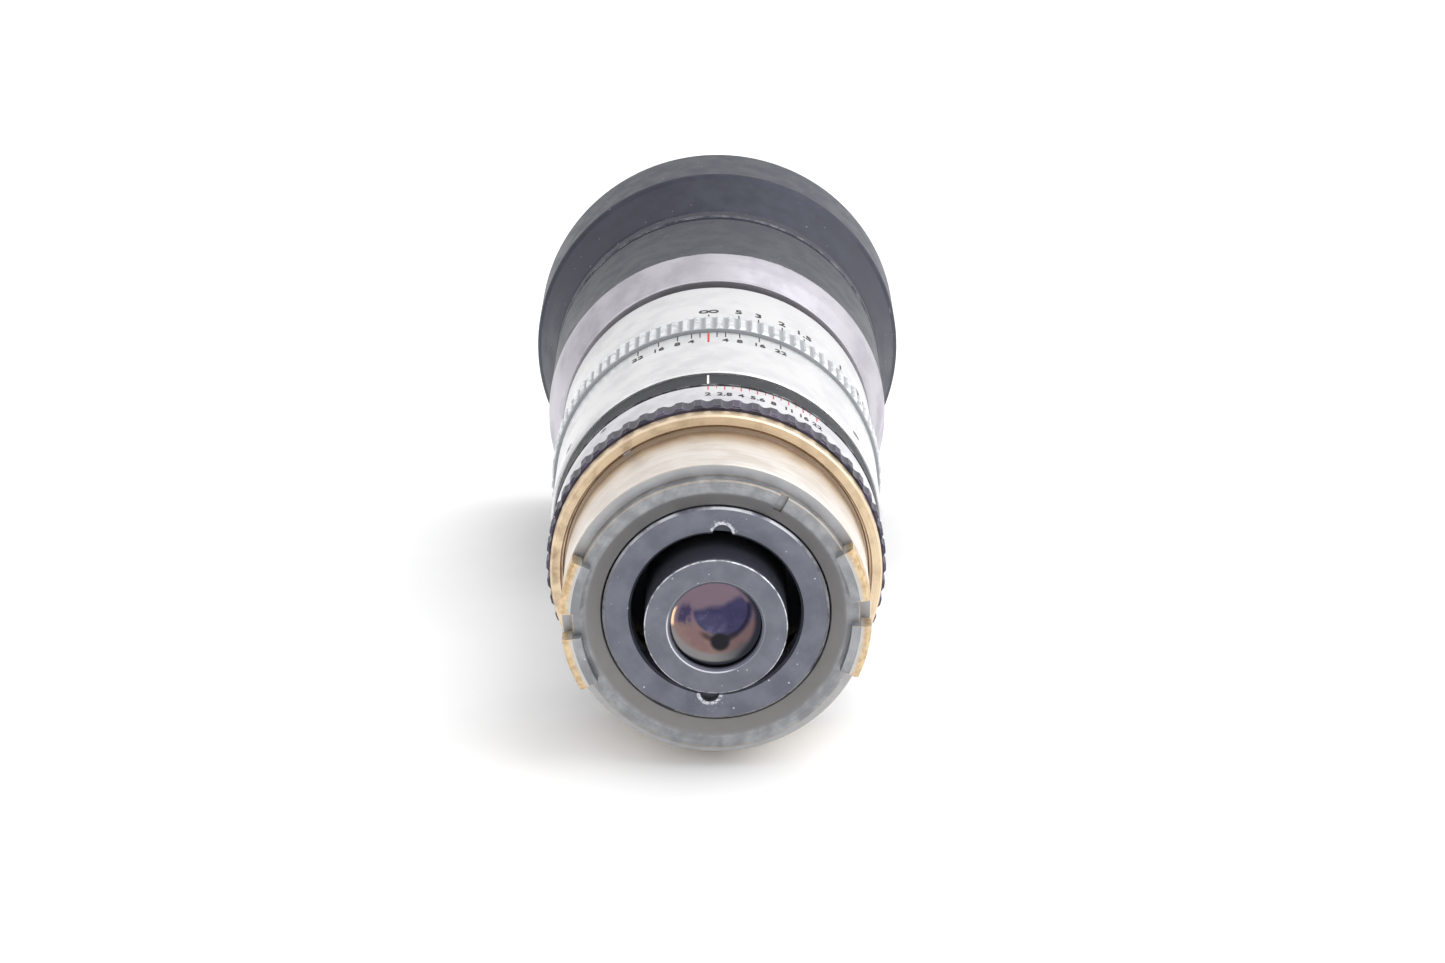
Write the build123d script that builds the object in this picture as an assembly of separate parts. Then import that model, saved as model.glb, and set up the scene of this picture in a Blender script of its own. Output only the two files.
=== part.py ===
"""Retrofocus cine objective with a four-lug bayonet tail.

Units are millimetres.  The optical axis is the Y axis and the front of the lens faces +Y.
The origin is the point where the optical axis crosses the seat of the mount flange.
Angles named beta are measured in the XZ plane, from +X towards +Z, which is anticlockwise
for someone who looks at the rear of the lens.
"""

import os
from math import atan2, cos, degrees, hypot, radians, sin, sqrt

from build123d import *

# ---------------------------------------------------------------- driving dimensions

# Axial stations of the outside, from the rear to the front.
REAR_FACE = -19.5
LUG_TOP = -17.2
STEP_FACE = -15.5
SHELF_FACE = -13.5
UNDERCUT_REAR = -0.7
SEAT = 0.0
RELIEF_FRONT = 0.9
FLANGE_FRONT = 2.1
GRIP_REAR = 2.3
GRIP_FRONT = 5.3
SCALE_FRONT = 11.9
INDEX_REAR = 12.1
BARREL_REAR = 16.8
BARREL_FRONT = 34.9
FOCUS_REAR = 35.1
FOCUS_GRIP_FRONT = 40.6
FOCUS_FRONT = 57.0
ADAPTER_REAR = 59.8
ADAPTER_FRONT = 66.3
BARREL_GROOVE_REAR = 86.1
BARREL_GROOVE_FRONT = 87.4
HOOD_REAR = 90.2
DRUM_REAR = 100.0
FILTER_SEAT = 109.2
FRONT_FACE = 113.0

# Radii of the outside.
TAIL_R = 20.5
UNDERCUT_R = 20.15
RELIEF_R = 21.05
FLANGE_SEAT_R = 20.8
STEP_R = 19.0
STEP_BORE_R = 17.3
FLANGE_R = 22.6
GRIP_R = 23.2
SCALE_R = 22.8
INDEX_R = 22.9
BARREL_R = 23.3
FOCUS_GRIP_R = 24.0
ADAPTER_REAR_R = 23.6
ADAPTER_FRONT_R = 25.9
FRONT_BARREL_R = 25.8
BARREL_GROOVE_R = 25.1
DRUM_R = 29.3
FILTER_BORE_R = 27.0

# Bayonet lugs.
LUG_ARC = 21.2
LUG_GAP = 10.4
LUG_INNER_R = 17.9
LUG_FLOOR = -14.2
LUG_CHAMFER = 0.45

# Keyway in the step of the tail, and the dowel between the tail and the flange.
KEYWAY_BETA = 59.0
KEYWAY_SIZE = (3.0, 1.6, 1.2)
DOWEL_BETA = 122.0
DOWEL_PLACE_R = 21.25
DOWEL_R = 0.7
DOWEL_REAR = 0.35

# Bore of the tail, and its retaining ring.
RING_THREAD_R = 15.15
MOUTH_FLOOR = -14.4
TAIL_BORE_R = 17.0
RING_R = 15.0
RING_HOLE_R = 11.3
RING_FACE = -14.9
RING_FRONT = -11.5
NOTCH_R = 1.3
NOTCH_BETA = 83.0

# Body sleeve and the running surfaces on it.
SPIGOT_R = 19.4
SLEEVE_BORE_R = 18.5
APERTURE_SEAT_R = 20.2
FOCUS_SEAT_R = 20.9
SLEEVE_REAR = -8.0
SLEEVE_FRONT = 43.0
NECK_R = 20.0
NECK_REAR = 40.0
NECK_RING_R = 21.3
RUNNING = 0.05

# Flutes and knurls, each cut by round cutters.
GRIP_FLUTES = 56
GRIP_CUTTER_R = 1.1
GRIP_CUTTER_OUT = 0.72
KNURL_FLUTES = 90
KNURL_CUTTER_R = 0.55
KNURL_CUTTER_OUT = 0.2
KNURL_DEPTH = 1.1

# Screws of the barrel and of the aperture ring.
BARREL_SCREW_Y = 20.4
BARREL_SCREW_R = 0.8
BARREL_SCREW_BETAS = (30, 150, 270)
APERTURE_SCREW_Y = 10.5
APERTURE_SCREW_R = 0.55
APERTURE_SCREW_BETAS = (10, 130, 250)

# Optical carriage.
CARRIAGE_R = 18.4
CARRIAGE_REAR = 20.0
HELICOID_R = 21.45
HELICOID_REAR = 44.0
CARRIAGE_FRONT = 62.5
MIDDLE_SEAT_R = 15.0
REAR_CELL_R = 9.4
REAR_CELL_STEP = 9.4
REAR_GLASS_R = 6.0
REAR_LIP = -18.6
MIDDLE_LIP_R = 10.2
MIDDLE_CELL_FRONT = 61.0
FRONT_CELL_LIP_R = 13.2
FRONT_CELL_REAR = 63.0
FRONT_CELL_FRONT = 80.9
FRONT_SEAT_R = 16.4
SECOND_SEAT = 81.5
HOOD_SPIGOT_R = 24.2
HOOD_SPIGOT_FRONT = 93.9
HOOD_BAFFLE_R = 26.6
HOOD_GLASS_FRONT = 101.2

# Cheese-head screws between the carriage tube and the front barrel.
FRONT_SCREW_BETAS = (45, 135, 225, 315)
FRONT_SCREW_PLACE_R = 18.0
FRONT_SCREW_R = 0.7
FRONT_SCREW_HEAD_R = 1.4
FRONT_SCREW_HEAD = 1.4
FRONT_SCREW_LENGTH = 6.2
FRONT_SCREW_DEPTH = 2.8
FRONT_POCKET_R = 1.45
FRONT_POCKET_FLOOR = 2.0

# Iris.
BLADES = 8
BLADE_PITCH = 360 / BLADES
BLADE_T = 0.14
BLADE_STEP = 0.23
BLADE_LEVEL = 16.45
BLADE_INNER_R = 8.35
BLADE_OUTER_R = 12.2
BLADE_ARC = 142.0
PIVOT_R = 13.4
PIVOT_PIN_R = 0.4
DRIVE_R = 13.0
DRIVE_LAG = 13.0
DRIVE_PIN_R = 0.35
PIN_PLAY = 0.06
SLOT_PLAY = 0.1
IRIS_TURN = 40.0
BLADE_TURN = 31.0
DRIVE_RING_R = 15.8
DRIVE_RING_BORE_R = 8.8
IRIS_RIM_R = 16.8
IRIS_HOLE_R = 8.2
DRIVE_RING_REAR = 15.0
DRIVE_RING_FRONT = 16.2
IRIS_BASE_REAR = 18.4
IRIS_REAR = 13.2
LINK_BORE_R = 17.1
LINK_R = 18.2
LINK_REAR = 6.0
LINK_FRONT = 17.4
TAB_HALF_ARC = 4.0
TAB_PLAY = 1.0
COVER_FRONT = 14.85
REAR_SCREW_BETAS = (100, 190, 280)
REAR_SCREW_R = 0.5
REAR_SCREW_INNER = 14.6

# Aperture drive pin and the slots that it runs in.
DRIVE_PIN_Y = 8.5
DRIVE_PIN_BETA = 70.0
LINK_PIN_R = 0.9
LINK_PIN_INNER = 17.3
LINK_PIN_OUTER = 22.0
LINK_SLOT_PLAY = 0.12

# Guide key under the carriage.
KEY_BETA = 270.0
KEY_WIDTH = 3.0
KEY_REAR = 24.0
KEY_FRONT = 33.0
KEY_INNER = 17.4
KEY_PLAY = 0.1
KEY_SLOT_MARGIN = 1.0
KEY_SCREW_STATIONS = (26.0, 31.0)
KEY_SCREW_R = 0.6
KEY_SCREW_INNER = 19.0

# Focus stop.
FOCUS_TURN = 216.0
STOP_R = 22.1
STOP_PIN_R = 0.4
STOP_PIN_BETA = 95.0
STOP_DEPTH = 1.6
STOP_PLAY = 0.2

# Glass, and the bores that hold it.
REAR_BORE_R = 7.4
MIDDLE_BORE_R = 11.5
FRONT_CELL_BORE_R = 15.0
SECOND_BORE_R = 19.5
HOOD_BORE_R = 25.2
CEMENT = 0.02
SEAT_PLAY = 0.02
EDGE_PLAY = 0.03

CHAMFER = 0.15


# ---------------------------------------------------------------- general tools

def bevelled(points, edge):
    """A closed outline with each outside corner cut back by edge along both of its sides."""
    corners = []
    count = len(points)
    closed = list(zip(points, points[1:] + points[:1]))
    area = sum(ax * by - bx * ay for (ax, ay), (bx, by) in closed)
    for index, (x, y) in enumerate(points):
        before = points[index - 1]
        after = points[(index + 1) % count]
        turn = (x - before[0]) * (after[1] - y) - (y - before[1]) * (after[0] - x)
        if turn * area <= 0:
            corners.append((x, y))
            continue
        for px, py in (before, after):
            length = hypot(px - x, py - y)
            cut = min(edge, 0.3 * length)
            corners.append((x + (px - x) * cut / length, y + (py - y) * cut / length))
    return corners


def turned(*points, edge=CHAMFER):
    """A turned piece from its half section, a closed outline of (radius, y) points."""
    outline = Polyline(*bevelled(list(points), edge), close=True)
    return revolve(make_face(outline), Axis.Y)


def ring(inner, outer, rear, front, edge=CHAMFER):
    """A plain turned ring."""
    return turned((inner, rear), (outer, rear), (outer, front), (inner, front), edge=edge)


def station(y):
    """The plane across the axis at y.  Its own x is +X and its own y is +Z."""
    return Plane(origin=(0, y, 0), x_dir=(1, 0, 0), z_dir=(0, -1, 0))


def plate(sketch, rear, front):
    """A flat piece between two stations from a sketch in the XZ plane."""
    return extrude(station(front) * sketch, amount=front - rear)


def polar(radius, beta):
    """The (x, z) place at a radius and an angle."""
    return (radius * cos(radians(beta)), radius * sin(radians(beta)))


def at_beta(shape, beta):
    """A shape built on the +X side, turned about the axis to its place at beta."""
    return Rot(0, -beta, 0) * shape


def sector(inner, outer, start, arc):
    """A sketch of an annular sector that starts at an angle and spans arc."""
    finish = start + arc
    middle = start + arc / 2
    edges = [
        ThreePointArc(polar(outer, start), polar(outer, middle), polar(outer, finish)),
        Line(polar(outer, finish), polar(inner, finish)),
        ThreePointArc(polar(inner, finish), polar(inner, middle), polar(inner, start)),
        Line(polar(inner, start), polar(outer, start)),
    ]
    return make_face(edges)


def bar(start, finish, radius):
    """A sketch of a straight round-ended bar between two points."""
    reach = Vector(*finish) - Vector(*start)
    middle = (Vector(*finish) + Vector(*start)) / 2
    turn = degrees(atan2(reach.Y, reach.X))
    slot = SlotCenterToCenter(reach.length, 2 * radius)
    return Pos(middle.X, middle.Y) * Rot(0, 0, turn) * slot


def notched(sketch, count, centre_r, cutter_r, phase=0.0):
    """A sketch with evenly spaced round flutes cut from its rim."""
    cutters = [
        Pos(*polar(centre_r, phase + 360 / count * index)) * Circle(cutter_r)
        for index in range(count)
    ]
    return sketch - cutters


def radial_pin(radius, inner, outer, y, beta):
    """A round pin that points along a radius."""
    body = Cylinder(radius, outer - inner, rotation=(0, 90, 0))
    return at_beta(Pos((inner + outer) / 2, y, 0) * body, beta)


def radial_screw(radius, inner, outer, y, beta):
    """A headless screw along a radius, with a driver slot in its outer end."""
    slot = Pos(outer, y, 0) * Box(0.6 * radius, 3 * radius, 0.35 * radius)
    return radial_pin(radius, inner, outer, y, beta) - at_beta(slot, beta)


def cheese_screw(radius, head_radius, head, rear, front, place_r, beta):
    """A screw along the axis, with a slotted cheese head at its front."""
    x, z = polar(place_r, beta)
    spot = Pos(x, z)
    shank = plate(spot * Circle(radius), rear, front)
    cap = plate(spot * Circle(head_radius), front - head, front)
    slot = Pos(x, front, z) * Box(3 * head_radius, 0.8 * head, 0.4 * head_radius)
    return shank + cap - slot


# ---------------------------------------------------------------- glass

class Glass:
    """A lens element given by its edge radius, its two vertices and its two bulges.

    A bulge is how far the surface stands out at the axis beyond its own edge, so it is
    negative on a hollow surface.  A clear radius leaves a flat ring outside a surface.
    """

    def __init__(self, radius, rear, front, rear_bulge, front_bulge, rear_clear=None):
        self.radius = radius
        self.rear = rear
        self.front = front
        self.rear_bulge = rear_bulge
        self.front_bulge = front_bulge
        self.rear_clear = rear_clear or radius

    def drop(self, bulge, clear, rho):
        """How far a surface has fallen back from its vertex at radius rho."""
        if rho >= clear:
            return bulge
        depth = abs(bulge)
        curve = (clear ** 2 + depth ** 2) / (2 * depth)
        fall = curve - sqrt(curve ** 2 - rho ** 2)
        return fall if bulge > 0 else -fall

    def rear_at(self, rho):
        """Height of the rear surface at radius rho."""
        return self.rear + self.drop(self.rear_bulge, self.rear_clear, rho)

    def front_at(self, rho):
        """Height of the front surface at radius rho."""
        return self.front - self.drop(self.front_bulge, self.radius, rho)

    def solid(self):
        """The element as a solid."""
        clear = self.rear_clear
        edges = [
            ThreePointArc(
                (0, self.front),
                (self.radius / 2, self.front_at(self.radius / 2)),
                (self.radius, self.front_at(self.radius)),
            ),
            Line((self.radius, self.front_at(self.radius)), (self.radius, self.rear_at(clear))),
            ThreePointArc(
                (clear, self.rear_at(clear)),
                (clear / 2, self.rear_at(clear / 2)),
                (0, self.rear),
            ),
            Line((0, self.rear), (0, self.front)),
        ]
        if clear < self.radius:
            edges.append(Line((self.radius, self.rear_at(clear)), (clear, self.rear_at(clear))))
        return revolve(make_face(edges), Axis.Y)


def spacer(behind, ahead, inner, outer):
    """A ring that keeps two elements apart and touches neither of their curves."""
    low = max(behind.front_at(inner), behind.front_at(outer)) + SEAT_PLAY
    high = min(ahead.rear_at(inner), ahead.rear_at(outer)) - SEAT_PLAY
    return ring(inner, outer, low, high, edge=0.05)


def glass_ring(element, inner, outer, length, spanner_r=0.6):
    """A threaded ring ahead of an element, with two spanner notches in its front."""
    low = max(element.front_at(inner), element.front_at(outer)) + SEAT_PLAY
    high = low + length
    blank = ring(inner, outer, low, high)
    notches = [
        plate(Pos(*polar(inner, beta)) * Circle(spanner_r), high - 0.8, high + 1)
        for beta in (0, 180)
    ]
    return blank - notches


REAR_EDGE_R = REAR_BORE_R - EDGE_PLAY
MIDDLE_EDGE_R = MIDDLE_BORE_R - EDGE_PLAY
FRONT_CELL_EDGE_R = FRONT_CELL_BORE_R - EDGE_PLAY

rear_outer = Glass(REAR_EDGE_R, -18.9, -15.2, 0.5, 1.0)
rear_inner = Glass(REAR_EDGE_R, -13.2, -9.8, -0.5, 1.0)
rear_flint = Glass(REAR_EDGE_R, -5.6, -4.4, -0.8, -1.6)
rear_crown = Glass(REAR_EDGE_R, -4.4 + CEMENT, 2.2, 1.6, 1.4)
middle_rear = Glass(MIDDLE_EDGE_R, 23.8, 30.4, 1.6, 1.8)
middle_flint = Glass(MIDDLE_EDGE_R, 37.0, 38.8, -1.2, -2.6)
middle_crown = Glass(MIDDLE_EDGE_R, 38.8 + CEMENT, 47.2, 2.6, 2.2)
middle_front = Glass(MIDDLE_EDGE_R, 52.6, 57.4, -0.8, 2.0)
fourth_positive = Glass(FRONT_CELL_EDGE_R, 64.4, 72.4, 2.0, 2.4)
third_meniscus = Glass(FRONT_CELL_EDGE_R, 77.5, 79.5, -4.5, 1.5, rear_clear=12.5)
second_meniscus = Glass(SECOND_BORE_R - EDGE_PLAY, 89.0, 92.0, -7.5, 4.0, rear_clear=14.0)
front_meniscus = Glass(HOOD_BORE_R - EDGE_PLAY, 105.0, 108.5, -11.05, 8.0, rear_clear=18.5)


# ---------------------------------------------------------------- mount and body

def tail_tube():
    """Bayonet tail: shelf, step, tapered mouth, keyway, undercut and two pairs of lugs."""
    blank = turned(
        (RING_THREAD_R, MOUTH_FLOOR),
        (STEP_BORE_R, STEP_FACE),
        (STEP_R, STEP_FACE),
        (STEP_R, SHELF_FACE),
        (TAIL_R, SHELF_FACE),
        (TAIL_R, UNDERCUT_REAR),
        (UNDERCUT_R, UNDERCUT_REAR),
        (UNDERCUT_R, RELIEF_FRONT),
        (FLANGE_SEAT_R, RELIEF_FRONT),
        (FLANGE_SEAT_R, FLANGE_FRONT),
        (SPIGOT_R, FLANGE_FRONT),
        (SPIGOT_R, SLEEVE_REAR),
        (TAIL_BORE_R, SLEEVE_REAR),
        (TAIL_BORE_R, RING_FRONT),
        (RING_THREAD_R, RING_FRONT),
    )
    lug_lead = LUG_GAP / 2
    for pair in (0, 180):
        for start in (pair + lug_lead, pair - lug_lead - LUG_ARC):
            lug = plate(sector(LUG_INNER_R, TAIL_R, start, LUG_ARC), LUG_TOP, LUG_FLOOR)
            rear_arcs = lug.edges().filter_by(GeomType.CIRCLE).group_by(Axis.Y)[0]
            outer_arc = rear_arcs.sort_by(SortBy.LENGTH)[-1]
            blank = blank + chamfer(outer_arc, LUG_CHAMFER)
    keyway = Pos((STEP_BORE_R + STEP_R) / 2, STEP_FACE, 0) * Box(*KEYWAY_SIZE)
    return blank - at_beta(keyway, KEYWAY_BETA) - flange_dowel()


def mount_flange():
    """Brass flange ring, with the relief groove that lets the camera port seat flat."""
    blank = turned(
        (FLANGE_SEAT_R, RELIEF_FRONT),
        (RELIEF_R, RELIEF_FRONT),
        (RELIEF_R, SEAT),
        (FLANGE_R, SEAT),
        (FLANGE_R, FLANGE_FRONT),
        (FLANGE_SEAT_R, FLANGE_FRONT),
        edge=0.2,
    )
    return blank - flange_dowel()


def flange_dowel():
    """Dowel across the joint of the flange and the tail, seen in the relief groove."""
    spot = Pos(*polar(DOWEL_PLACE_R, DOWEL_BETA))
    return plate(spot * Circle(DOWEL_R), DOWEL_REAR, FLANGE_FRONT)


def tail_retaining_ring():
    """Black threaded ring in the tail, with two half-round spanner notches."""
    blank = ring(RING_HOLE_R, RING_R, RING_FACE, RING_FRONT, edge=0.3)
    notches = [
        plate(Pos(*polar(RING_HOLE_R, beta)) * Circle(NOTCH_R), RING_FACE - 1, RING_FACE + 1.3)
        for beta in (NOTCH_BETA, NOTCH_BETA + 180)
    ]
    return blank - notches


def swept_slot(radius, y, start, turn, inner, outer):
    """The space that a radial pin sweeps as it turns about the axis."""
    lead = degrees(radius / inner)
    return plate(sector(inner, outer, start - lead, turn + 2 * lead), y - radius, y + radius)


def body_sleeve():
    """Fixed tube that carries the tail, both rings and the outer barrels."""
    blank = turned(
        (SLEEVE_BORE_R, SLEEVE_REAR),
        (SPIGOT_R, SLEEVE_REAR),
        (SPIGOT_R, FLANGE_FRONT),
        (APERTURE_SEAT_R, FLANGE_FRONT),
        (APERTURE_SEAT_R, BARREL_REAR),
        (FOCUS_SEAT_R, BARREL_REAR),
        (FOCUS_SEAT_R, NECK_REAR),
        (NECK_R, NECK_REAR),
        (NECK_R, SLEEVE_FRONT),
        (SLEEVE_BORE_R, SLEEVE_FRONT),
    )
    reach = LINK_PIN_R + LINK_SLOT_PLAY
    inner = SLEEVE_BORE_R - 1
    pin_slot = swept_slot(reach, DRIVE_PIN_Y, DRIVE_PIN_BETA, IRIS_TURN, inner, APERTURE_SEAT_R + 1)
    return blank - pin_slot - key_block(inner, FOCUS_SEAT_R + 1)


def key_block(inner, outer, play=0.0, margin=0.0):
    """A block on the guide key's place, grown sideways and lengthways if asked."""
    length = KEY_FRONT - KEY_REAR + 2 * margin
    block = Box(outer - inner, length, KEY_WIDTH + 2 * play)
    return at_beta(Pos((inner + outer) / 2, (KEY_REAR + KEY_FRONT) / 2, 0) * block, KEY_BETA)


def guide_key():
    """Flat key let into the body sleeve, which keeps the carriage from turning."""
    crown = ring(KEY_INNER, FOCUS_SEAT_R, KEY_REAR, KEY_FRONT, edge=0.01)
    holes = [
        radial_pin(KEY_SCREW_R, KEY_SCREW_INNER, FOCUS_SEAT_R + 1, y, KEY_BETA)
        for y in KEY_SCREW_STATIONS
    ]
    return (crown & key_block(KEY_INNER - 1, FOCUS_SEAT_R + 1)) - holes


def key_screws():
    """Two screws in the guide key."""
    outer = FOCUS_SEAT_R - 0.1
    return Compound(
        [
            radial_screw(KEY_SCREW_R, KEY_SCREW_INNER, outer, y, KEY_BETA)
            for y in KEY_SCREW_STATIONS
        ]
    )


def index_ring():
    """Black fixed ring that carries the index marks of both scales."""
    return ring(APERTURE_SEAT_R, INDEX_R, INDEX_REAR, BARREL_REAR, edge=0.2)


def main_barrel():
    """Satin barrel between the index ring and the focus ring, with the stop pin's hole."""
    blank = ring(FOCUS_SEAT_R, BARREL_R, BARREL_REAR, BARREL_FRONT, edge=0.25)
    return blank - focus_stop_pin() - barrel_screw_plugs()


def barrel_screw_plugs():
    """Full-depth plugs for the three barrel screws."""
    return [
        radial_pin(BARREL_SCREW_R, FOCUS_SEAT_R + 0.5, BARREL_R + 1, BARREL_SCREW_Y, beta)
        for beta in BARREL_SCREW_BETAS
    ]


def barrel_screws():
    """Three grub screws that hold the main barrel."""
    return Compound(
        [
            radial_screw(BARREL_SCREW_R, FOCUS_SEAT_R + 0.5, BARREL_R - 0.2, BARREL_SCREW_Y, beta)
            for beta in BARREL_SCREW_BETAS
        ]
    )


def focus_stop_pin():
    """Pin in the front face of the barrel, on which the focus ring stops."""
    place = Pos(*polar(STOP_R, STOP_PIN_BETA))
    return plate(place * Circle(STOP_PIN_R), BARREL_FRONT - 2.4, FOCUS_REAR + STOP_DEPTH - 0.3)


def focus_retaining_ring():
    """Ring on the neck of the sleeve that holds the focus ring back."""
    return ring(NECK_R, NECK_RING_R, NECK_REAR + 0.15, SLEEVE_FRONT - 0.5)


# ---------------------------------------------------------------- aperture ring

def aperture_grip_ring():
    """Scalloped black grip of the aperture ring."""
    blank = ring(APERTURE_SEAT_R + RUNNING, GRIP_R, GRIP_REAR, GRIP_FRONT, edge=0.25)
    flutes = notched(Circle(GRIP_R + 1), GRIP_FLUTES, GRIP_R + GRIP_CUTTER_OUT, GRIP_CUTTER_R)
    return blank & plate(flutes, GRIP_REAR - 1, GRIP_FRONT + 1)


def aperture_scale_ring():
    """Satin band of the aperture ring, which carries its scale and its drive pin."""
    blank = ring(APERTURE_SEAT_R + RUNNING, SCALE_R, GRIP_FRONT, SCALE_FRONT, edge=0.2)
    screws = [
        radial_pin(APERTURE_SCREW_R, APERTURE_SEAT_R + 1, SCALE_R + 1, APERTURE_SCREW_Y, beta)
        for beta in APERTURE_SCREW_BETAS
    ]
    return blank - aperture_drive_pin() - screws


def aperture_ring_screws():
    """Three grub screws in the scale ring."""
    inner = APERTURE_SEAT_R + 1
    outer = SCALE_R - 0.15
    return Compound(
        [
            radial_screw(APERTURE_SCREW_R, inner, outer, APERTURE_SCREW_Y, beta)
            for beta in APERTURE_SCREW_BETAS
        ]
    )


def aperture_drive_pin():
    """Pin from the aperture ring through the body sleeve into the iris link sleeve."""
    return radial_pin(LINK_PIN_R, LINK_PIN_INNER, LINK_PIN_OUTER, DRIVE_PIN_Y, DRIVE_PIN_BETA)


# ---------------------------------------------------------------- focus ring

def focus_ring():
    """Satin focus ring with the helicoid nut and the stop groove in its rear face."""
    grip_seat = FOCUS_GRIP_R - KNURL_DEPTH
    blank = turned(
        (FOCUS_SEAT_R + RUNNING, FOCUS_REAR),
        (grip_seat, FOCUS_REAR),
        (grip_seat, FOCUS_GRIP_FRONT),
        (BARREL_R, FOCUS_GRIP_FRONT),
        (BARREL_R, FOCUS_FRONT),
        (HELICOID_R + RUNNING, FOCUS_FRONT),
        (HELICOID_R + RUNNING, NECK_REAR),
        (FOCUS_SEAT_R + RUNNING, NECK_REAR),
        edge=0.2,
    )
    reach = STOP_PIN_R + STOP_PLAY
    lead = degrees(reach / STOP_R)
    start = STOP_PIN_BETA - FOCUS_TURN - lead
    groove = sector(STOP_R - reach, STOP_R + reach, start, FOCUS_TURN + 2 * lead)
    return blank - plate(groove, FOCUS_REAR - 0.5, FOCUS_REAR + STOP_DEPTH)


def focus_grip_ring():
    """Knurled band shrunk on the focus ring."""
    seat = FOCUS_GRIP_R - KNURL_DEPTH
    blank = ring(seat, FOCUS_GRIP_R, FOCUS_REAR, FOCUS_GRIP_FRONT, edge=0.3)
    cutter_place = FOCUS_GRIP_R + KNURL_CUTTER_OUT
    flutes = notched(Circle(FOCUS_GRIP_R + 1), KNURL_FLUTES, cutter_place, KNURL_CUTTER_R)
    return blank & plate(flutes, FOCUS_REAR - 1, FOCUS_GRIP_FRONT + 1)


# ---------------------------------------------------------------- optical carriage

def front_screw_holes(rear, front, radius=FRONT_SCREW_R):
    """Round plugs on the places of the four front barrel screws."""
    return [
        plate(Pos(*polar(FRONT_SCREW_PLACE_R, beta)) * Circle(radius), rear, front)
        for beta in FRONT_SCREW_BETAS
    ]


def carriage_tube():
    """Sliding tube with the helicoid, the keyway and the seat of the middle cell."""
    blank = turned(
        (MIDDLE_SEAT_R, CARRIAGE_REAR),
        (CARRIAGE_R, CARRIAGE_REAR),
        (CARRIAGE_R, HELICOID_REAR),
        (HELICOID_R, HELICOID_REAR),
        (HELICOID_R, CARRIAGE_FRONT),
        (MIDDLE_SEAT_R, CARRIAGE_FRONT),
    )
    keyway = key_block(KEY_INNER - 0.2, CARRIAGE_R + 1, KEY_PLAY, KEY_SLOT_MARGIN)
    depth = FRONT_SCREW_DEPTH + 0.2
    return blank - keyway - front_screw_holes(CARRIAGE_FRONT - depth, CARRIAGE_FRONT + 1)


def iris_housing():
    """Cup of the iris: pivot holes in its base, and a window in its rim for the drive tab."""
    blank = turned(
        (DRIVE_RING_R + RUNNING, IRIS_REAR),
        (IRIS_RIM_R, IRIS_REAR),
        (IRIS_RIM_R, CARRIAGE_REAR),
        (IRIS_HOLE_R, CARRIAGE_REAR),
        (IRIS_HOLE_R, IRIS_BASE_REAR),
        (DRIVE_RING_R + RUNNING, IRIS_BASE_REAR),
        edge=0.05,
    )
    holes = [
        plate(
            Pos(*polar(PIVOT_R, index * BLADE_PITCH)) * Circle(PIVOT_PIN_R + PIN_PLAY),
            IRIS_BASE_REAR - 0.5,
            CARRIAGE_REAR + 0.5,
        )
        for index in range(BLADES)
    ]
    window = sector(
        DRIVE_RING_R - 0.5,
        IRIS_RIM_R + 1,
        -TAB_HALF_ARC - TAB_PLAY,
        IRIS_TURN + 2 * (TAB_HALF_ARC + TAB_PLAY),
    )
    opening = plate(window, DRIVE_RING_REAR - 0.15, DRIVE_RING_FRONT + 0.15)
    return blank - holes - opening - rear_screw_plugs()


def turned_about(point, pivot, angle):
    """A flat point turned about a pivot."""
    x = point[0] - pivot[0]
    y = point[1] - pivot[1]
    c = cos(radians(angle))
    s = sin(radians(angle))
    return (pivot[0] + c * x - s * y, pivot[1] + s * x + c * y)


def drive_slot(index, segments=6):
    """The cam slot of one blade: its pin's path as the drive ring sees it."""
    beta = index * BLADE_PITCH
    pivot = polar(PIVOT_R, beta)
    rest = polar(DRIVE_R, beta - DRIVE_LAG)
    path = []
    for step in range(segments + 1):
        share = step / segments
        pin = turned_about(rest, pivot, BLADE_TURN * share)
        path.append(turned_about(pin, (0, 0), -IRIS_TURN * share))
    pieces = [bar(path[k], path[k + 1], DRIVE_PIN_R + SLOT_PLAY) for k in range(segments)]
    slot = pieces[0]
    for piece in pieces[1:]:
        slot = slot + piece
    return slot


def iris_drive_ring():
    """Rotating plate of the iris with one cam slot per blade and an outside drive tab."""
    disc = Circle(DRIVE_RING_R) - Circle(DRIVE_RING_BORE_R)
    tab = sector(DRIVE_RING_R - 0.6, LINK_R, -TAB_HALF_ARC, 2 * TAB_HALF_ARC)
    blank = plate(disc + tab, DRIVE_RING_REAR, DRIVE_RING_FRONT)
    slots = [
        plate(drive_slot(index), DRIVE_RING_REAR - 0.5, DRIVE_RING_FRONT + 0.5)
        for index in range(BLADES)
    ]
    return blank - slots


def iris_link_sleeve():
    """Sleeve that joins the aperture ring's pin to the tab of the drive ring."""
    blank = ring(LINK_BORE_R, LINK_R, LINK_REAR, LINK_FRONT, edge=0.1)
    tab_seat = sector(LINK_BORE_R - 1, LINK_R + 1, -TAB_HALF_ARC, 2 * TAB_HALF_ARC)
    front_slot = plate(tab_seat, DRIVE_RING_REAR, LINK_FRONT + 1)
    length = DRIVE_PIN_Y - LINK_REAR + LINK_PIN_R + LINK_SLOT_PLAY
    rear_slot = Box(3.0, 2 * length, 2 * (LINK_PIN_R + 0.05))
    rear_slot = at_beta(Pos(LINK_R, LINK_REAR, 0) * rear_slot, DRIVE_PIN_BETA)
    return blank - front_slot - rear_slot


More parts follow.
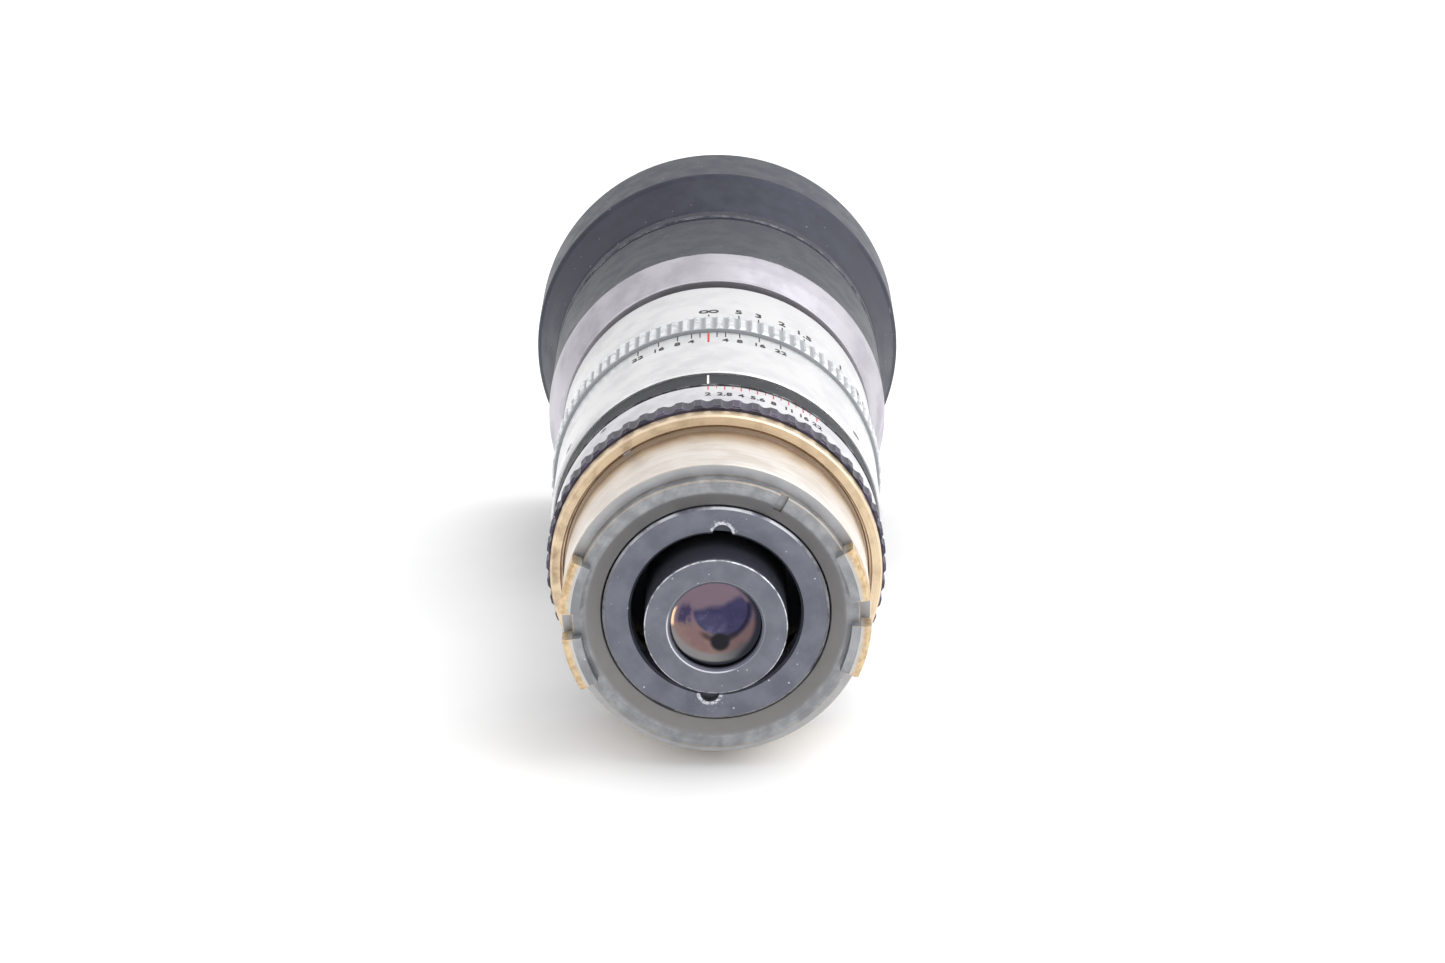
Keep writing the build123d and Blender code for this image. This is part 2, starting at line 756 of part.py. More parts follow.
def iris_blade(index):
    """One blade at its own level, with a pivot pin ahead and a drive pin behind."""
    beta = index * BLADE_PITCH
    level = BLADE_LEVEL + BLADE_STEP * index
    pivot = polar(PIVOT_R, beta)
    drive = polar(DRIVE_R, beta - DRIVE_LAG)
    root = polar(BLADE_OUTER_R - 1.0, beta + 3.0)
    outline = sector(BLADE_INNER_R, BLADE_OUTER_R, beta - 2.0, BLADE_ARC)
    outline = outline + bar(pivot, drive, 0.75) + bar(pivot, root, 1.0)
    leaf = plate(outline, level, level + BLADE_T)
    pivot_pin = plate(Pos(*pivot) * Circle(PIVOT_PIN_R), level, CARRIAGE_REAR - 0.3)
    drive_pin = plate(Pos(*drive) * Circle(DRIVE_PIN_R), DRIVE_RING_REAR + 0.2, level + BLADE_T)
    return leaf + pivot_pin + drive_pin


def rear_screw_plugs():
    """Full-depth plugs for the three screws between the iris housing and the rear cell."""
    y = (IRIS_REAR + COVER_FRONT) / 2
    return [
        radial_pin(REAR_SCREW_R, REAR_SCREW_INNER, IRIS_RIM_R + 1, y, beta)
        for beta in REAR_SCREW_BETAS
    ]


def rear_cell():
    """Protruding black cell of the rear group, with the spigot that closes the iris."""
    spigot_r = DRIVE_RING_R + RUNNING
    blank = turned(
        (REAR_GLASS_R, REAR_FACE + 0.35),
        (REAR_GLASS_R + 0.5, REAR_FACE),
        (REAR_CELL_R, REAR_FACE),
        (REAR_CELL_R, REAR_CELL_STEP),
        (IRIS_RIM_R, REAR_CELL_STEP),
        (IRIS_RIM_R, IRIS_REAR),
        (spigot_r, IRIS_REAR),
        (spigot_r, COVER_FRONT),
        (REAR_BORE_R, COVER_FRONT),
        (REAR_BORE_R, REAR_LIP),
        (REAR_GLASS_R, REAR_LIP),
        edge=0.12,
    )
    return blank - rear_screw_plugs()


def rear_cell_screws():
    """Three grub screws that hold the rear cell in the iris housing."""
    y = (IRIS_REAR + COVER_FRONT) / 2
    return Compound(
        [
            radial_screw(REAR_SCREW_R, REAR_SCREW_INNER, IRIS_RIM_R - 0.2, y, beta)
            for beta in REAR_SCREW_BETAS
        ]
    )


def middle_cell():
    """Long cell of the middle group, inside the carriage tube."""
    rear = CARRIAGE_REAR + 1.4
    lip = middle_rear.rear_at(MIDDLE_LIP_R) - SEAT_PLAY
    return turned(
        (MIDDLE_LIP_R, rear),
        (MIDDLE_SEAT_R, rear),
        (MIDDLE_SEAT_R, MIDDLE_CELL_FRONT),
        (MIDDLE_BORE_R, MIDDLE_CELL_FRONT),
        (MIDDLE_BORE_R, lip),
        (MIDDLE_LIP_R, lip),
        edge=0.1,
    )


def front_adapter():
    """Flared satin ring between the focus ring and the black front barrel."""
    return turned(
        (HELICOID_R, ADAPTER_REAR),
        (ADAPTER_REAR_R, ADAPTER_REAR),
        (24.9, 63.0),
        (25.7, 65.4),
        (ADAPTER_FRONT_R, ADAPTER_FRONT),
        (HELICOID_R, ADAPTER_FRONT),
        edge=0.2,
    )


def front_barrel():
    """Black barrel that carries the front cell and the second meniscus."""
    blank = turned(
        (FRONT_SEAT_R, CARRIAGE_FRONT),
        (HELICOID_R, CARRIAGE_FRONT),
        (HELICOID_R, ADAPTER_FRONT),
        (FRONT_BARREL_R, ADAPTER_FRONT),
        (FRONT_BARREL_R, BARREL_GROOVE_REAR - 0.3),
        (BARREL_GROOVE_R, BARREL_GROOVE_REAR),
        (BARREL_GROOVE_R, BARREL_GROOVE_FRONT),
        (FRONT_BARREL_R, BARREL_GROOVE_FRONT + 0.3),
        (FRONT_BARREL_R, HOOD_REAR),
        (HOOD_SPIGOT_R, HOOD_REAR),
        (HOOD_SPIGOT_R, HOOD_SPIGOT_FRONT),
        (SECOND_BORE_R, HOOD_SPIGOT_FRONT),
        (SECOND_BORE_R, SECOND_SEAT),
        (FRONT_SEAT_R, SECOND_SEAT),
    )
    floor = CARRIAGE_FRONT + FRONT_POCKET_FLOOR
    pockets = front_screw_holes(floor, SECOND_SEAT + 1, FRONT_POCKET_R)
    return blank - pockets - front_screw_holes(CARRIAGE_FRONT - 1, SECOND_SEAT)


def front_barrel_screws():
    """Four cheese-head screws that hold the front barrel to the carriage tube."""
    rear = CARRIAGE_FRONT - FRONT_SCREW_DEPTH
    front = rear + FRONT_SCREW_LENGTH
    sizes = (FRONT_SCREW_R, FRONT_SCREW_HEAD_R, FRONT_SCREW_HEAD)
    return Compound(
        [
            cheese_screw(*sizes, rear, front, FRONT_SCREW_PLACE_R, beta)
            for beta in FRONT_SCREW_BETAS
        ]
    )


def front_cell():
    """Cell of the third and fourth elements."""
    lip = fourth_positive.rear_at(FRONT_CELL_LIP_R) - SEAT_PLAY
    return turned(
        (FRONT_CELL_LIP_R, FRONT_CELL_REAR),
        (FRONT_SEAT_R, FRONT_CELL_REAR),
        (FRONT_SEAT_R, FRONT_CELL_FRONT),
        (FRONT_CELL_BORE_R, FRONT_CELL_FRONT),
        (FRONT_CELL_BORE_R, lip),
        (FRONT_CELL_LIP_R, lip),
        edge=0.1,
    )


def front_hood():
    """Flared black hood: the seat of the front meniscus, baffle steps and filter thread."""
    return turned(
        (HOOD_SPIGOT_R, HOOD_REAR),
        (25.4, HOOD_REAR),
        (25.9, HOOD_REAR + 0.9),
        (28.7, 99.0),
        (DRUM_R, DRUM_REAR),
        (DRUM_R, FRONT_FACE - 0.4),
        (DRUM_R - 0.4, FRONT_FACE),
        (FILTER_BORE_R, FRONT_FACE),
        (FILTER_BORE_R, FILTER_SEAT),
        (HOOD_BAFFLE_R, FILTER_SEAT),
        (HOOD_BAFFLE_R, HOOD_GLASS_FRONT),
        (HOOD_BORE_R, HOOD_GLASS_FRONT),
        (HOOD_BORE_R, HOOD_SPIGOT_FRONT),
        (HOOD_SPIGOT_R, HOOD_SPIGOT_FRONT),
        edge=0.2,
    )


# ---------------------------------------------------------------- writing the nodes

NODES = {
    "tail_tube": tail_tube,
    "mount_flange": mount_flange,
    "flange_dowel": flange_dowel,
    "tail_retaining_ring": tail_retaining_ring,
    "body_sleeve": body_sleeve,
    "guide_key": guide_key,
    "key_screws": key_screws,
    "index_ring": index_ring,
    "main_barrel": main_barrel,
    "barrel_screws": barrel_screws,
    "focus_stop_pin": focus_stop_pin,
    "focus_retaining_ring": focus_retaining_ring,
    "aperture_grip_ring": aperture_grip_ring,
    "aperture_scale_ring": aperture_scale_ring,
    "aperture_ring_screws": aperture_ring_screws,
    "aperture_drive_pin": aperture_drive_pin,
    "focus_ring": focus_ring,
    "focus_grip_ring": focus_grip_ring,
    "carriage_tube": carriage_tube,
    "iris_housing": iris_housing,
    "iris_drive_ring": iris_drive_ring,
    "iris_link_sleeve": iris_link_sleeve,
    "rear_cell": rear_cell,
    "rear_cell_screws": rear_cell_screws,
    "rear_glass": rear_outer.solid,
    "rear_inner_glass": rear_inner.solid,
    "rear_flint_glass": rear_flint.solid,
    "rear_crown_glass": rear_crown.solid,
    "rear_spacer_outer": lambda: spacer(rear_outer, rear_inner, 6.4, REAR_BORE_R),
    "rear_spacer_inner": lambda: spacer(rear_inner, rear_flint, 6.4, REAR_BORE_R),
    "rear_glass_ring": lambda: glass_ring(rear_crown, 6.3, REAR_BORE_R, 2.4, 0.5),
    "middle_cell": middle_cell,
    "middle_rear_glass": middle_rear.solid,
    "middle_flint_glass": middle_flint.solid,
    "middle_crown_glass": middle_crown.solid,
    "middle_front_glass": middle_front.solid,
    "middle_spacer_rear": lambda: spacer(middle_rear, middle_flint, 10.2, MIDDLE_BORE_R),
    "middle_spacer_front": lambda: spacer(middle_crown, middle_front, 10.2, MIDDLE_BORE_R),
    "middle_glass_ring": lambda: glass_ring(middle_front, 10.0, MIDDLE_BORE_R, 2.2),
    "front_adapter": front_adapter,
    "front_barrel": front_barrel,
    "front_barrel_screws": front_barrel_screws,
    "front_cell": front_cell,
    "fourth_glass": fourth_positive.solid,
    "third_glass": third_meniscus.solid,
    "front_cell_spacer": lambda: spacer(fourth_positive, third_meniscus, 13.6, FRONT_CELL_BORE_R),
    "front_cell_ring": lambda: glass_ring(third_meniscus, 13.6, FRONT_CELL_BORE_R, 1.8),
    "second_glass": second_meniscus.solid,
    "front_spacer": lambda: spacer(second_meniscus, front_meniscus, 18.6, SECOND_BORE_R),
    "front_glass": front_meniscus.solid,
    "front_hood": front_hood,
    "front_retaining_ring": lambda: glass_ring(front_meniscus, 23.8, HOOD_BAFFLE_R, 2.8, 1.0),
}

for number in range(BLADES):
    NODES[f"iris_blade_{number + 1}"] = lambda number=number: iris_blade(number)

os.makedirs("parts", exist_ok=True)
for name, build in NODES.items():
    export_step(build(), f"parts/{name}.step")
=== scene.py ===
"""Looks of the cine objective: studio, engraved scales, threads and procedural finishes."""

from math import ceil, cos, pi, radians, sin

import bmesh
import bpy
from mathutils import Matrix, Vector


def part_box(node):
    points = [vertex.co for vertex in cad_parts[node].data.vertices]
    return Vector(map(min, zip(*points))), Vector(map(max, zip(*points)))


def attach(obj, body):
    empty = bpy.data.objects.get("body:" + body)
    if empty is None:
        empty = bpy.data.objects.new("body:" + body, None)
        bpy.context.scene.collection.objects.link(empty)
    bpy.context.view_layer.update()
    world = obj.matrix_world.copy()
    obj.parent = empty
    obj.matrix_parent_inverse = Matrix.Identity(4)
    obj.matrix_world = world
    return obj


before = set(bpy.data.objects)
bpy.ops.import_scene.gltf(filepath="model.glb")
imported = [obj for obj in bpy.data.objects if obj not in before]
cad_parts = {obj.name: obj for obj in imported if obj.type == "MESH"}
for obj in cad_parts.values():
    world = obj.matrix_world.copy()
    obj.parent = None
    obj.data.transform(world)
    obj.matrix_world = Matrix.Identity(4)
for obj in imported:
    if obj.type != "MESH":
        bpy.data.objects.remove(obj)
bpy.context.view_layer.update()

MM = 0.001

# ---------------------------------------------------------------- sizes

# The camera stands behind the lens and looks down on the optical axis by VIEW_DROP.  The lens lies
# turned about that axis by ROLL, so the whole studio is turned instead.
VIEW_DROP = radians(19.97)
ROLL = radians(2.8)
CAMERA_PLACE = Vector((0.86, -431.3, 169.9)) * MM
LENS_MM = 85.0
SENSOR_MM = 36.0

# The surround's strength to the left and to the right.
DIM_SIDE = 0.86
BRIGHT_SIDE = 1.44

# Each soft square light: its name, place and side in metres, and its power in watts.
LIGHTS = (
    ("key", (0.65, 0.0, 0.85), 1.2, 6.5),
    ("fill", (-0.7, -0.4, 0.8), 1.0, 0.8),
)
AIM = Vector((0, 30, 0)) * MM

# The table, in metres.  DRUM_SHARE is how far along the hood its widest part starts.
TABLE_RADIUS = 3.0
TABLE_GAP = 0.0001
DRUM_SHARE = 0.43

# From here on, lengths are in millimetres.  A station is a place along the optical axis.
# Radii of the bands that carry engraving, and of the ridged bores in the hood.
SCALE_BAND = 22.8
INDEX_BAND = 22.9
BARREL_BAND = 23.3
FILTER_BORE = 27.0
HOOD_BAFFLE = 26.6

# Knurled band: the radii of its flutes and crests.
KNURL_ROOT = 23.62
KNURL_CREST = 23.95

# Tail: where its finish changes, by radius and by station, and the spans over which it wears.
MOUTH_EDGE = 17.275
STEP_EDGE = 19.05
LUG_EDGE = 19.11
UNDERCUT_EDGE = 19.95
WALL_EDGE = 20.43
MOUTH_STATION = -15.4
LUG_STATION = -14.0
SHELF_STATION = -13.6
UNDERCUT_STATION = -1.45
STEP_RIM = (18.72, 19.05)
SHELF_RIM = (20.22, 20.4)
LUG_BACK = (19.1, 19.9)
LUG_OUTSIDE = (20.36, 20.46)
BROWNED = (-5.5, -0.2)

# Rear cell: its face, its worn outer corner, and its inner lip, worn a little all round and
# painted bright at the lower left as a painted highlight.
CELL_FACE = -19.41
CELL_CORNER = -18.975
CELL_RIM = 9.26
CELL_LIP = (6.34, 6.50)

# Retaining ring: its hole, notches, face, worn front corner and outer edge.
RING_HOLE = 11.3
NOTCH_BETAS = (83.0, 263.0)
NOTCH_RUB = (1.28, 1.75)
RING_FACE = -14.56
RING_CORNER = -14.35
RING_RIM = 14.71

# Rear glass: the radius of its dome, and the round zones of the painted reflections and painted
# shade in its colour.  A CENTRE is an (x, z) place, an EDGE or RING is a span of distance from it,
# and a LEVEL is a span of height.
REAR_CURVE = 41.2
MAUVE_LEVEL = (0.0, 1.4)
BOWL_CENTRE = (0.6, 2.15)
BOWL_EDGE = (3.3, 3.8)
BOWL_LEVEL = (1.9, 3.1)
BOWL_RING = (3.3, 4.3)
BOWL_FOOT_RING = (3.7, 4.5)
SHEEN_CENTRE = (-0.8, -0.1)
SHEEN_EDGE = (0.8, 2.6)
WING_CENTRE = (0.0, 0.6)
WING_RING = (3.3, 5.0)
WING_LEVEL = (0.3, 3.4)
SPOT_CENTRE = (0.43, -2.35)
SPOT_EDGE = (0.95, 1.6)
BORDER_CENTRE = (0.0, 1.8)
BORDER_EDGE = (5.5, 6.2)
BORDER_END = (6.8, 7.2)
SHADE_CENTRE = (-0.7, 0.5)
SHADE_EDGE = (5.4, 6.2)
FLARE_CENTRE = (-1.0, 0.6)
FLARE_EDGE = (4.35, 4.65)
FLARE_LEVEL = (0.4, 2.7)

# TOP is the angle of the index lines, in degrees.  Paint stands a little proud of the metal and
# is rooted a little way in it.
TOP = 90.0
PAINT_LIFT = 0.035
PAINT_ROOT = 0.06

# The scales.  A ring's numbers run from the index towards smaller angles, as the ring turns up.
# A ROW is a station of figures, and LINES are the rear and front ends of marks.  The infinity sign
# is two rings, each INFINITY_SPREAD degrees from its mark, and a depth mark is an angle and a figure.
APERTURES = ("2", "2.8", "4", "5.6", "8", "11", "16", "22")
APERTURE_TURN = 40.0
APERTURE_ROW = 8.3
APERTURE_LINES = (10.3, 11.6)
HALF_STOP_LINES = (10.9, 11.6)
INDEX_LINES = (12.5, 16.2)
DISTANCES = (5.0, 3.0, 2.0, 1.5, 1.0, 0.8, 0.6, 0.5, 0.4, 0.3, 0.25)
NEAREST = 0.25
FOCUS_TURN = 216.0
FOCUS_ROW = 45.0
FOCUS_LINES = (41.2, 43.2)
INFINITY_SPREAD = 1.75
DEPTH_MARKS = ((3.0, ""), (6.0, "4"), (11.0, "8"), (18.0, "16"), (26.0, "22"))
DEPTH_ROW = 31.0
DEPTH_LINES = (32.6, 34.4)
FOCUS_INDEX_LINES = (30.2, 34.4)

# Ridges in the hood: their stations, depth and pitch.
THREAD_SPAN = (109.7, 112.6)
THREAD_DEPTH = 0.35
THREAD_PITCH = 0.72
BAFFLE_SPAN = (105.6, 109.0)
BAFFLE_DEPTH = 0.4
BAFFLE_PITCH = 0.55


def srgb(red, green, blue):
    """A colour of 0 to 255 as the linear RGBA that Blender takes."""
    linear = [((value / 255 + 0.055) / 1.055) ** 2.4 for value in (red, green, blue)]
    return (*linear, 1.0)


# ---------------------------------------------------------------- studio

def place_camera(rig):
    """The camera, a long lens behind the part and above it."""
    data = bpy.data.cameras.new("camera")
    data.lens = LENS_MM
    data.sensor_width = SENSOR_MM
    data.clip_start = 0.01
    data.clip_end = 20
    camera = bpy.data.objects.new("camera", data)
    right = Vector((1, 0, 0))
    up = Vector((0, sin(VIEW_DROP), cos(VIEW_DROP)))
    turn = Matrix((right, up, right.cross(up))).transposed().to_4x4()
    camera.matrix_world = rig @ Matrix.Translation(CAMERA_PLACE) @ turn
    bpy.context.scene.collection.objects.link(camera)
    bpy.context.scene.camera = camera


def place_floor(rig):
    """A pale table that touches the hood's drum and the aperture grip."""
    grip_low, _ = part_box("aperture_grip_ring")
    hood_low, hood_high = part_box("front_hood")
    rear = Vector((0, grip_low[1], grip_low[2]))
    drum = hood_low[1] + DRUM_SHARE * (hood_high[1] - hood_low[1])
    front = Vector((0, drum, hood_low[2]))
    along = (front - rear).normalized()
    side = Vector((1, 0, 0))
    turn = Matrix((side, along, side.cross(along))).transposed().to_4x4()
    mesh = bpy.data.meshes.new("floor")
    form = bmesh.new()
    bmesh.ops.create_circle(form, cap_ends=True, segments=96, radius=TABLE_RADIUS)
    form.to_mesh(mesh)
    form.free()
    floor = bpy.data.objects.new("floor", mesh)
    drop = Matrix.Translation((0, 0, -TABLE_GAP))
    floor.matrix_world = rig @ Matrix.Translation(rear) @ turn @ drop
    bpy.context.scene.collection.objects.link(floor)
    mesh.materials.append(table_top())


def place_light(rig, name, place, size, power):
    """A soft square light aimed at the middle of the lens."""
    data = bpy.data.lights.new(name, "AREA")
    data.size = size
    data.energy = power
    lamp = bpy.data.objects.new(name, data)
    turn = (Vector(place) - AIM).to_track_quat("Z", "Y").to_matrix().to_4x4()
    lamp.matrix_world = rig @ Matrix.Translation(place) @ turn
    bpy.context.scene.collection.objects.link(lamp)


def build_studio():
    """Camera, table, soft lights and a white surround."""
    rig = Matrix.Rotation(ROLL, 4, "Y")
    place_camera(rig)
    place_floor(rig)
    for light in LIGHTS:
        place_light(rig, *light)
    scene = bpy.context.scene
    world = bpy.data.worlds.new("studio")
    world.use_nodes = True
    nodes, links = world.node_tree.nodes, world.node_tree.links
    surround = nodes["Background"]
    surround.inputs["Color"].default_value = (1, 1, 1, 1)
    direction = nodes.new("ShaderNodeSeparateXYZ")
    links.new(nodes.new("ShaderNodeTexCoord").outputs["Generated"], direction.inputs[0])
    sidelong = nodes.new("ShaderNodeMapRange")
    sidelong.inputs[1].default_value = -1.0
    sidelong.inputs[3].default_value = DIM_SIDE
    sidelong.inputs[4].default_value = BRIGHT_SIDE
    links.new(direction.outputs["X"], sidelong.inputs[0])
    links.new(sidelong.outputs[0], surround.inputs["Strength"])
    scene.world = world
    scene.view_settings.view_transform = "Standard"
    scene.view_settings.look = "None"


# ---------------------------------------------------------------- material tools

class Finish:
    """A material in the making, with short calls for the nodes that the finishes share.

    Its places are in millimetres in the part's own frame, so a finish stays on its piece
    when the piece moves.
    """

    def __init__(self, name, **constants):
        self.material = bpy.data.materials.new(name)
        self.material.use_nodes = True
        self.tree = self.material.node_tree
        self.shader = self.tree.nodes["Principled BSDF"]
        for socket, value in constants.items():
            self.shader.inputs[socket.replace("_", " ")].default_value = value
        place = self.add("ShaderNodeTexCoord").outputs["Object"]
        scaled = self.add("ShaderNodeVectorMath", {0: place, "Scale": 1 / MM}, operation="SCALE")
        self.place = scaled.outputs[0]
        split = self.add("ShaderNodeSeparateXYZ", {"Vector": self.place})
        self.x, self.y, self.z = split.outputs
        squares = self.math("ADD", self.math("POWER", self.x, 2.0), self.math("POWER", self.z, 2.0))
        self.radius = self.math("SQRT", squares)

    def add(self, kind, inputs=None, **settings):
        """A new node with its settings made and its inputs set or linked."""
        node = self.tree.nodes.new(kind)
        for key, value in settings.items():
            setattr(node, key, value)
        for key, value in (inputs or {}).items():
            self.feed(node.inputs[key], value)
        return node

    def feed(self, socket, value):
        """Links an output to a socket, or sets a plain value on it."""
        if isinstance(value, bpy.types.NodeSocket):
            self.tree.links.new(value, socket)
        else:
            socket.default_value = value

    def math(self, operation, a, b=0.0, clamp=False):
        """One arithmetic step."""
        node = self.add("ShaderNodeMath", {0: a, 1: b}, operation=operation, use_clamp=clamp)
        return node.outputs[0]

    def ramp(self, value, low, high, start=0.0, end=1.0):
        """A smooth rise of value from low to high, as start to end."""
        inputs = {0: value, 1: low, 2: high, 3: start, 4: end}
        return self.add("ShaderNodeMapRange", inputs, interpolation_type="SMOOTHSTEP").outputs[0]

    def beyond(self, value, edge, blur=0.03):
        """One where value is past an edge, and nought short of it."""
        return self.ramp(value, edge - blur, edge + blur)

    def short(self, value, edge, blur=0.03):
        """One where value is short of an edge, and nought past it."""
        return self.ramp(value, edge - blur, edge + blur, 1.0, 0.0)

    def band(self, value, low, high, soft):
        """One between low and high, and nought outside."""
        rise = self.ramp(value, low - soft, low + soft)
        fall = self.ramp(value, high - soft, high + soft, 1.0, 0.0)
        return self.math("MULTIPLY", rise, fall)

    def both(self, a, b):
        """Where both masks are on."""
        return self.math("MULTIPLY", a, b)

    def either(self, a, b):
        """Where one mask or the other is on."""
        return self.math("MAXIMUM", a, b)

    def mix(self, share, a, b):
        """A blend of two colours."""
        node = self.add("ShaderNodeMix", {0: share, 6: a, 7: b}, data_type="RGBA")
        return node.outputs[2]

    def noise(self, size, detail=3.0, stretch=(1, 1, 1), rough=0.55):
        """Cloudy noise whose blots are about size millimetres."""
        inputs = {"Vector": self.place, "Scale": tuple(s / size for s in stretch)}
        place = self.add("ShaderNodeMapping", inputs).outputs[0]
        inputs = {"Vector": place, "Scale": 1.0, "Detail": detail, "Roughness": rough}
        return self.add("ShaderNodeTexNoise", inputs).outputs[0]

    def lathe(self, pitch):
        """Noise in rings round the axis, as a lathe tool leaves, about pitch millimetres wide."""
        drift = 2.0
        across = self.math("DIVIDE", self.x, self.radius)
        above = self.math("DIVIDE", self.z, self.radius)
        inputs = {
            "X": self.math("DIVIDE", self.radius, pitch),
            "Y": self.math("DIVIDE", self.y, pitch),
            "Z": self.math("MULTIPLY", across, drift),
        }
        place = self.add("ShaderNodeCombineXYZ", inputs).outputs[0]
        inputs = {
            "Vector": place,
            "W": self.math("MULTIPLY", above, drift),
            "Scale": 1.0,
            "Detail": 2.0,
        }
        return self.add("ShaderNodeTexNoise", inputs, noise_dimensions="4D").outputs[0]

    def edges(self, width, keen=0.96):
        """Where the surface is within width of a sharp edge."""
        bevel = self.add("ShaderNodeBevel", {"Radius": width * MM}, samples=6).outputs[0]
        normal = self.add("ShaderNodeNewGeometry").outputs["Normal"]
        node = self.add("ShaderNodeVectorMath", {0: bevel, 1: normal}, operation="DOT_PRODUCT")
        return self.ramp(node.outputs["Value"], keen, 0.995, 1.0, 0.0)

    def specks(self, spacing, share, size=0.07):
        """Sparse round specks of dust."""
        inputs = {"Vector": self.place, "Scale": 1.0 / spacing}
        cells = self.add("ShaderNodeTexVoronoi", inputs)
        chosen = self.add("ShaderNodeSeparateColor", {0: cells.outputs["Color"]}).outputs[0]
        kept = self.math("LESS_THAN", chosen, share)
        return self.both(kept, self.ramp(cells.outputs["Distance"], size * 0.5, size, 1.0, 0.0))

    def scratches(self, length, share, thin):
        """Fine lines in many directions, broken by clouds, thin as a share of their spacing."""
        warp = self.noise(length * 0.7, 1.0)
        bent = self.add("ShaderNodeVectorMath", {0: self.place, 1: warp}, operation="ADD").outputs[0]
        inputs = {"Vector": bent, "Scale": (1.0 / length, 0.8 / length, 0.35 / length)}
        place = self.add("ShaderNodeMapping", inputs).outputs[0]
        inputs = {"Vector": place, "Scale": 1.0}
        cells = self.add("ShaderNodeTexVoronoi", inputs, feature="DISTANCE_TO_EDGE").outputs[0]
        line = self.ramp(cells, thin * 0.3, thin, 1.0, 0.0)
        return self.both(line, self.ramp(self.noise(length * 1.6), 1 - share, 1.08 - share))

    def bump(self, height, depth):
        """Surface relief of depth millimetres."""
        inputs = {"Height": height, "Strength": 1.0, "Distance": depth * MM}
        return self.add("ShaderNodeBump", inputs).outputs[0]

    def dome(self, curve):
        """The true normal of a polished dome of that radius that faces the rear."""
        inputs = {
            "X": self.math("DIVIDE", self.x, curve),
            "Y": -1.0,
            "Z": self.math("DIVIDE", self.z, curve),
        }
        outward = self.add("ShaderNodeCombineXYZ", inputs).outputs[0]
        settings = {"vector_type": "NORMAL", "convert_from": "OBJECT", "convert_to": "WORLD"}
        turned = self.add("ShaderNodeVectorTransform", {0: outward}, **settings).outputs[0]
        return self.add("ShaderNodeVectorMath", {0: turned}, operation="NORMALIZE").outputs[0]

    def reach(self, x, z):
        """The distance from the line through (x, z) that runs along the optical axis."""
        across = self.math("POWER", self.math("SUBTRACT", self.x, x), 2.0)
        above = self.math("POWER", self.math("SUBTRACT", self.z, z), 2.0)
        return self.math("SQRT", self.math("ADD", across, above))

    def close(self, colour, roughness, metallic=None, normal=None):
        """Joins the finished channels to the shader."""
        self.feed(self.shader.inputs["Base Color"], colour)
        self.feed(self.shader.inputs["Roughness"], roughness)
        if metallic is not None:
            self.feed(self.shader.inputs["Metallic"], metallic)
        if normal is not None:
            self.feed(self.shader.inputs["Normal"], normal)
        return self.material


# ---------------------------------------------------------------- finishes

def table_top():
    """White paper."""
    f = Finish("table_top", Specular_IOR_Level=0.2)
    tone = f.ramp(f.noise(40.0), 0.3, 0.7)
    colour = f.mix(tone, srgb(243, 243, 243), srgb(247, 247, 247))
    return f.close(colour, 0.8, normal=f.bump(f.noise(0.6), 0.01))


def satin_chrome(name, base, shade, grime, roughness=0.3):
    """Satin chrome on brass: turned rings, smears, fine pits and greyer edges."""
    f = Finish(name, Metallic=1.0)
    rings = f.lathe(0.12)
    smear = f.ramp(f.noise(5.0, 4.0), 0.40, 0.68)
    pits = f.specks(0.9, 0.10, 0.05)
    edge = f.both(f.edges(0.22), f.ramp(f.noise(2.0), 0.36, 0.60))
    colour = f.mix(smear, base, shade)
    colour = f.mix(f.both(f.ramp(rings, 0.45, 0.8), 0.35), colour, shade)
    colour = f.mix(f.math("MULTIPLY", edge, 0.55), colour, grime)
    colour = f.mix(f.both(pits, 0.6), colour, grime)
    rough = f.math("ADD", f.math("MULTIPLY", smear, 0.12), roughness)
    rough = f.math("ADD", rough, f.math("MULTIPLY", rings, 0.06))
    return f.close(colour, rough, normal=f.bump(rings, 0.004))


def knurled_chrome():
    """Knurled band: chrome on the crests, darker grey and rougher in the flutes."""
    f = Finish("knurled_chrome", Metallic=0.85)
    crest = f.ramp(f.radius, KNURL_ROOT, KNURL_CREST)
    worn = f.ramp(f.noise(1.4, 3.0), 0.30, 0.62)
    crest = f.math("MULTIPLY", crest, f.ramp(worn, 0.0, 1.0, 0.45, 1.0))
    colour = f.mix(crest, srgb(158, 162, 166), srgb(222, 223, 226))
    colour = f.mix(f.specks(0.8, 0.2, 0.12), colour, srgb(96, 99, 102))
    rough = f.ramp(crest, 0.0, 1.0, 0.55, 0.28)
    return f.close(colour, rough, normal=f.bump(f.noise(0.2), 0.01))


def black_anodised(name, base, worn, metal, sheen=0.8, roughness=0.42, wear=0.5):
    """Dyed light metal: turned rings, cloudy rubbing, dust and bright worn edges."""
    f = Finish(name, Specular_IOR_Level=0.35)
    rings = f.lathe(0.16)
    cloud = f.ramp(f.noise(3.2, 4.0), 0.35, 0.70)
    edge = f.both(f.edges(0.16), f.ramp(f.noise(2.2, 5.0, rough=0.7), 0.90 - wear, 1.15 - wear))
    lines = f.both(f.scratches(4.0, 0.35, 0.012), 0.5)
    dots = f.specks(1.5, 0.3, 0.08)
    colour = f.mix(cloud, base, worn)
    colour = f.mix(f.both(f.ramp(rings, 0.5, 0.8), 0.25), colour, worn)
    colour = f.mix(f.either(dots, lines), colour, srgb(170, 172, 178))
    colour = f.mix(edge, colour, metal)
    rough = f.math("ADD", f.math("MULTIPLY", cloud, 0.12), roughness)
    metallic = f.ramp(edge, 0.0, 1.0, sheen, 0.9)
    return f.close(colour, rough, metallic, f.bump(rings, 0.006))


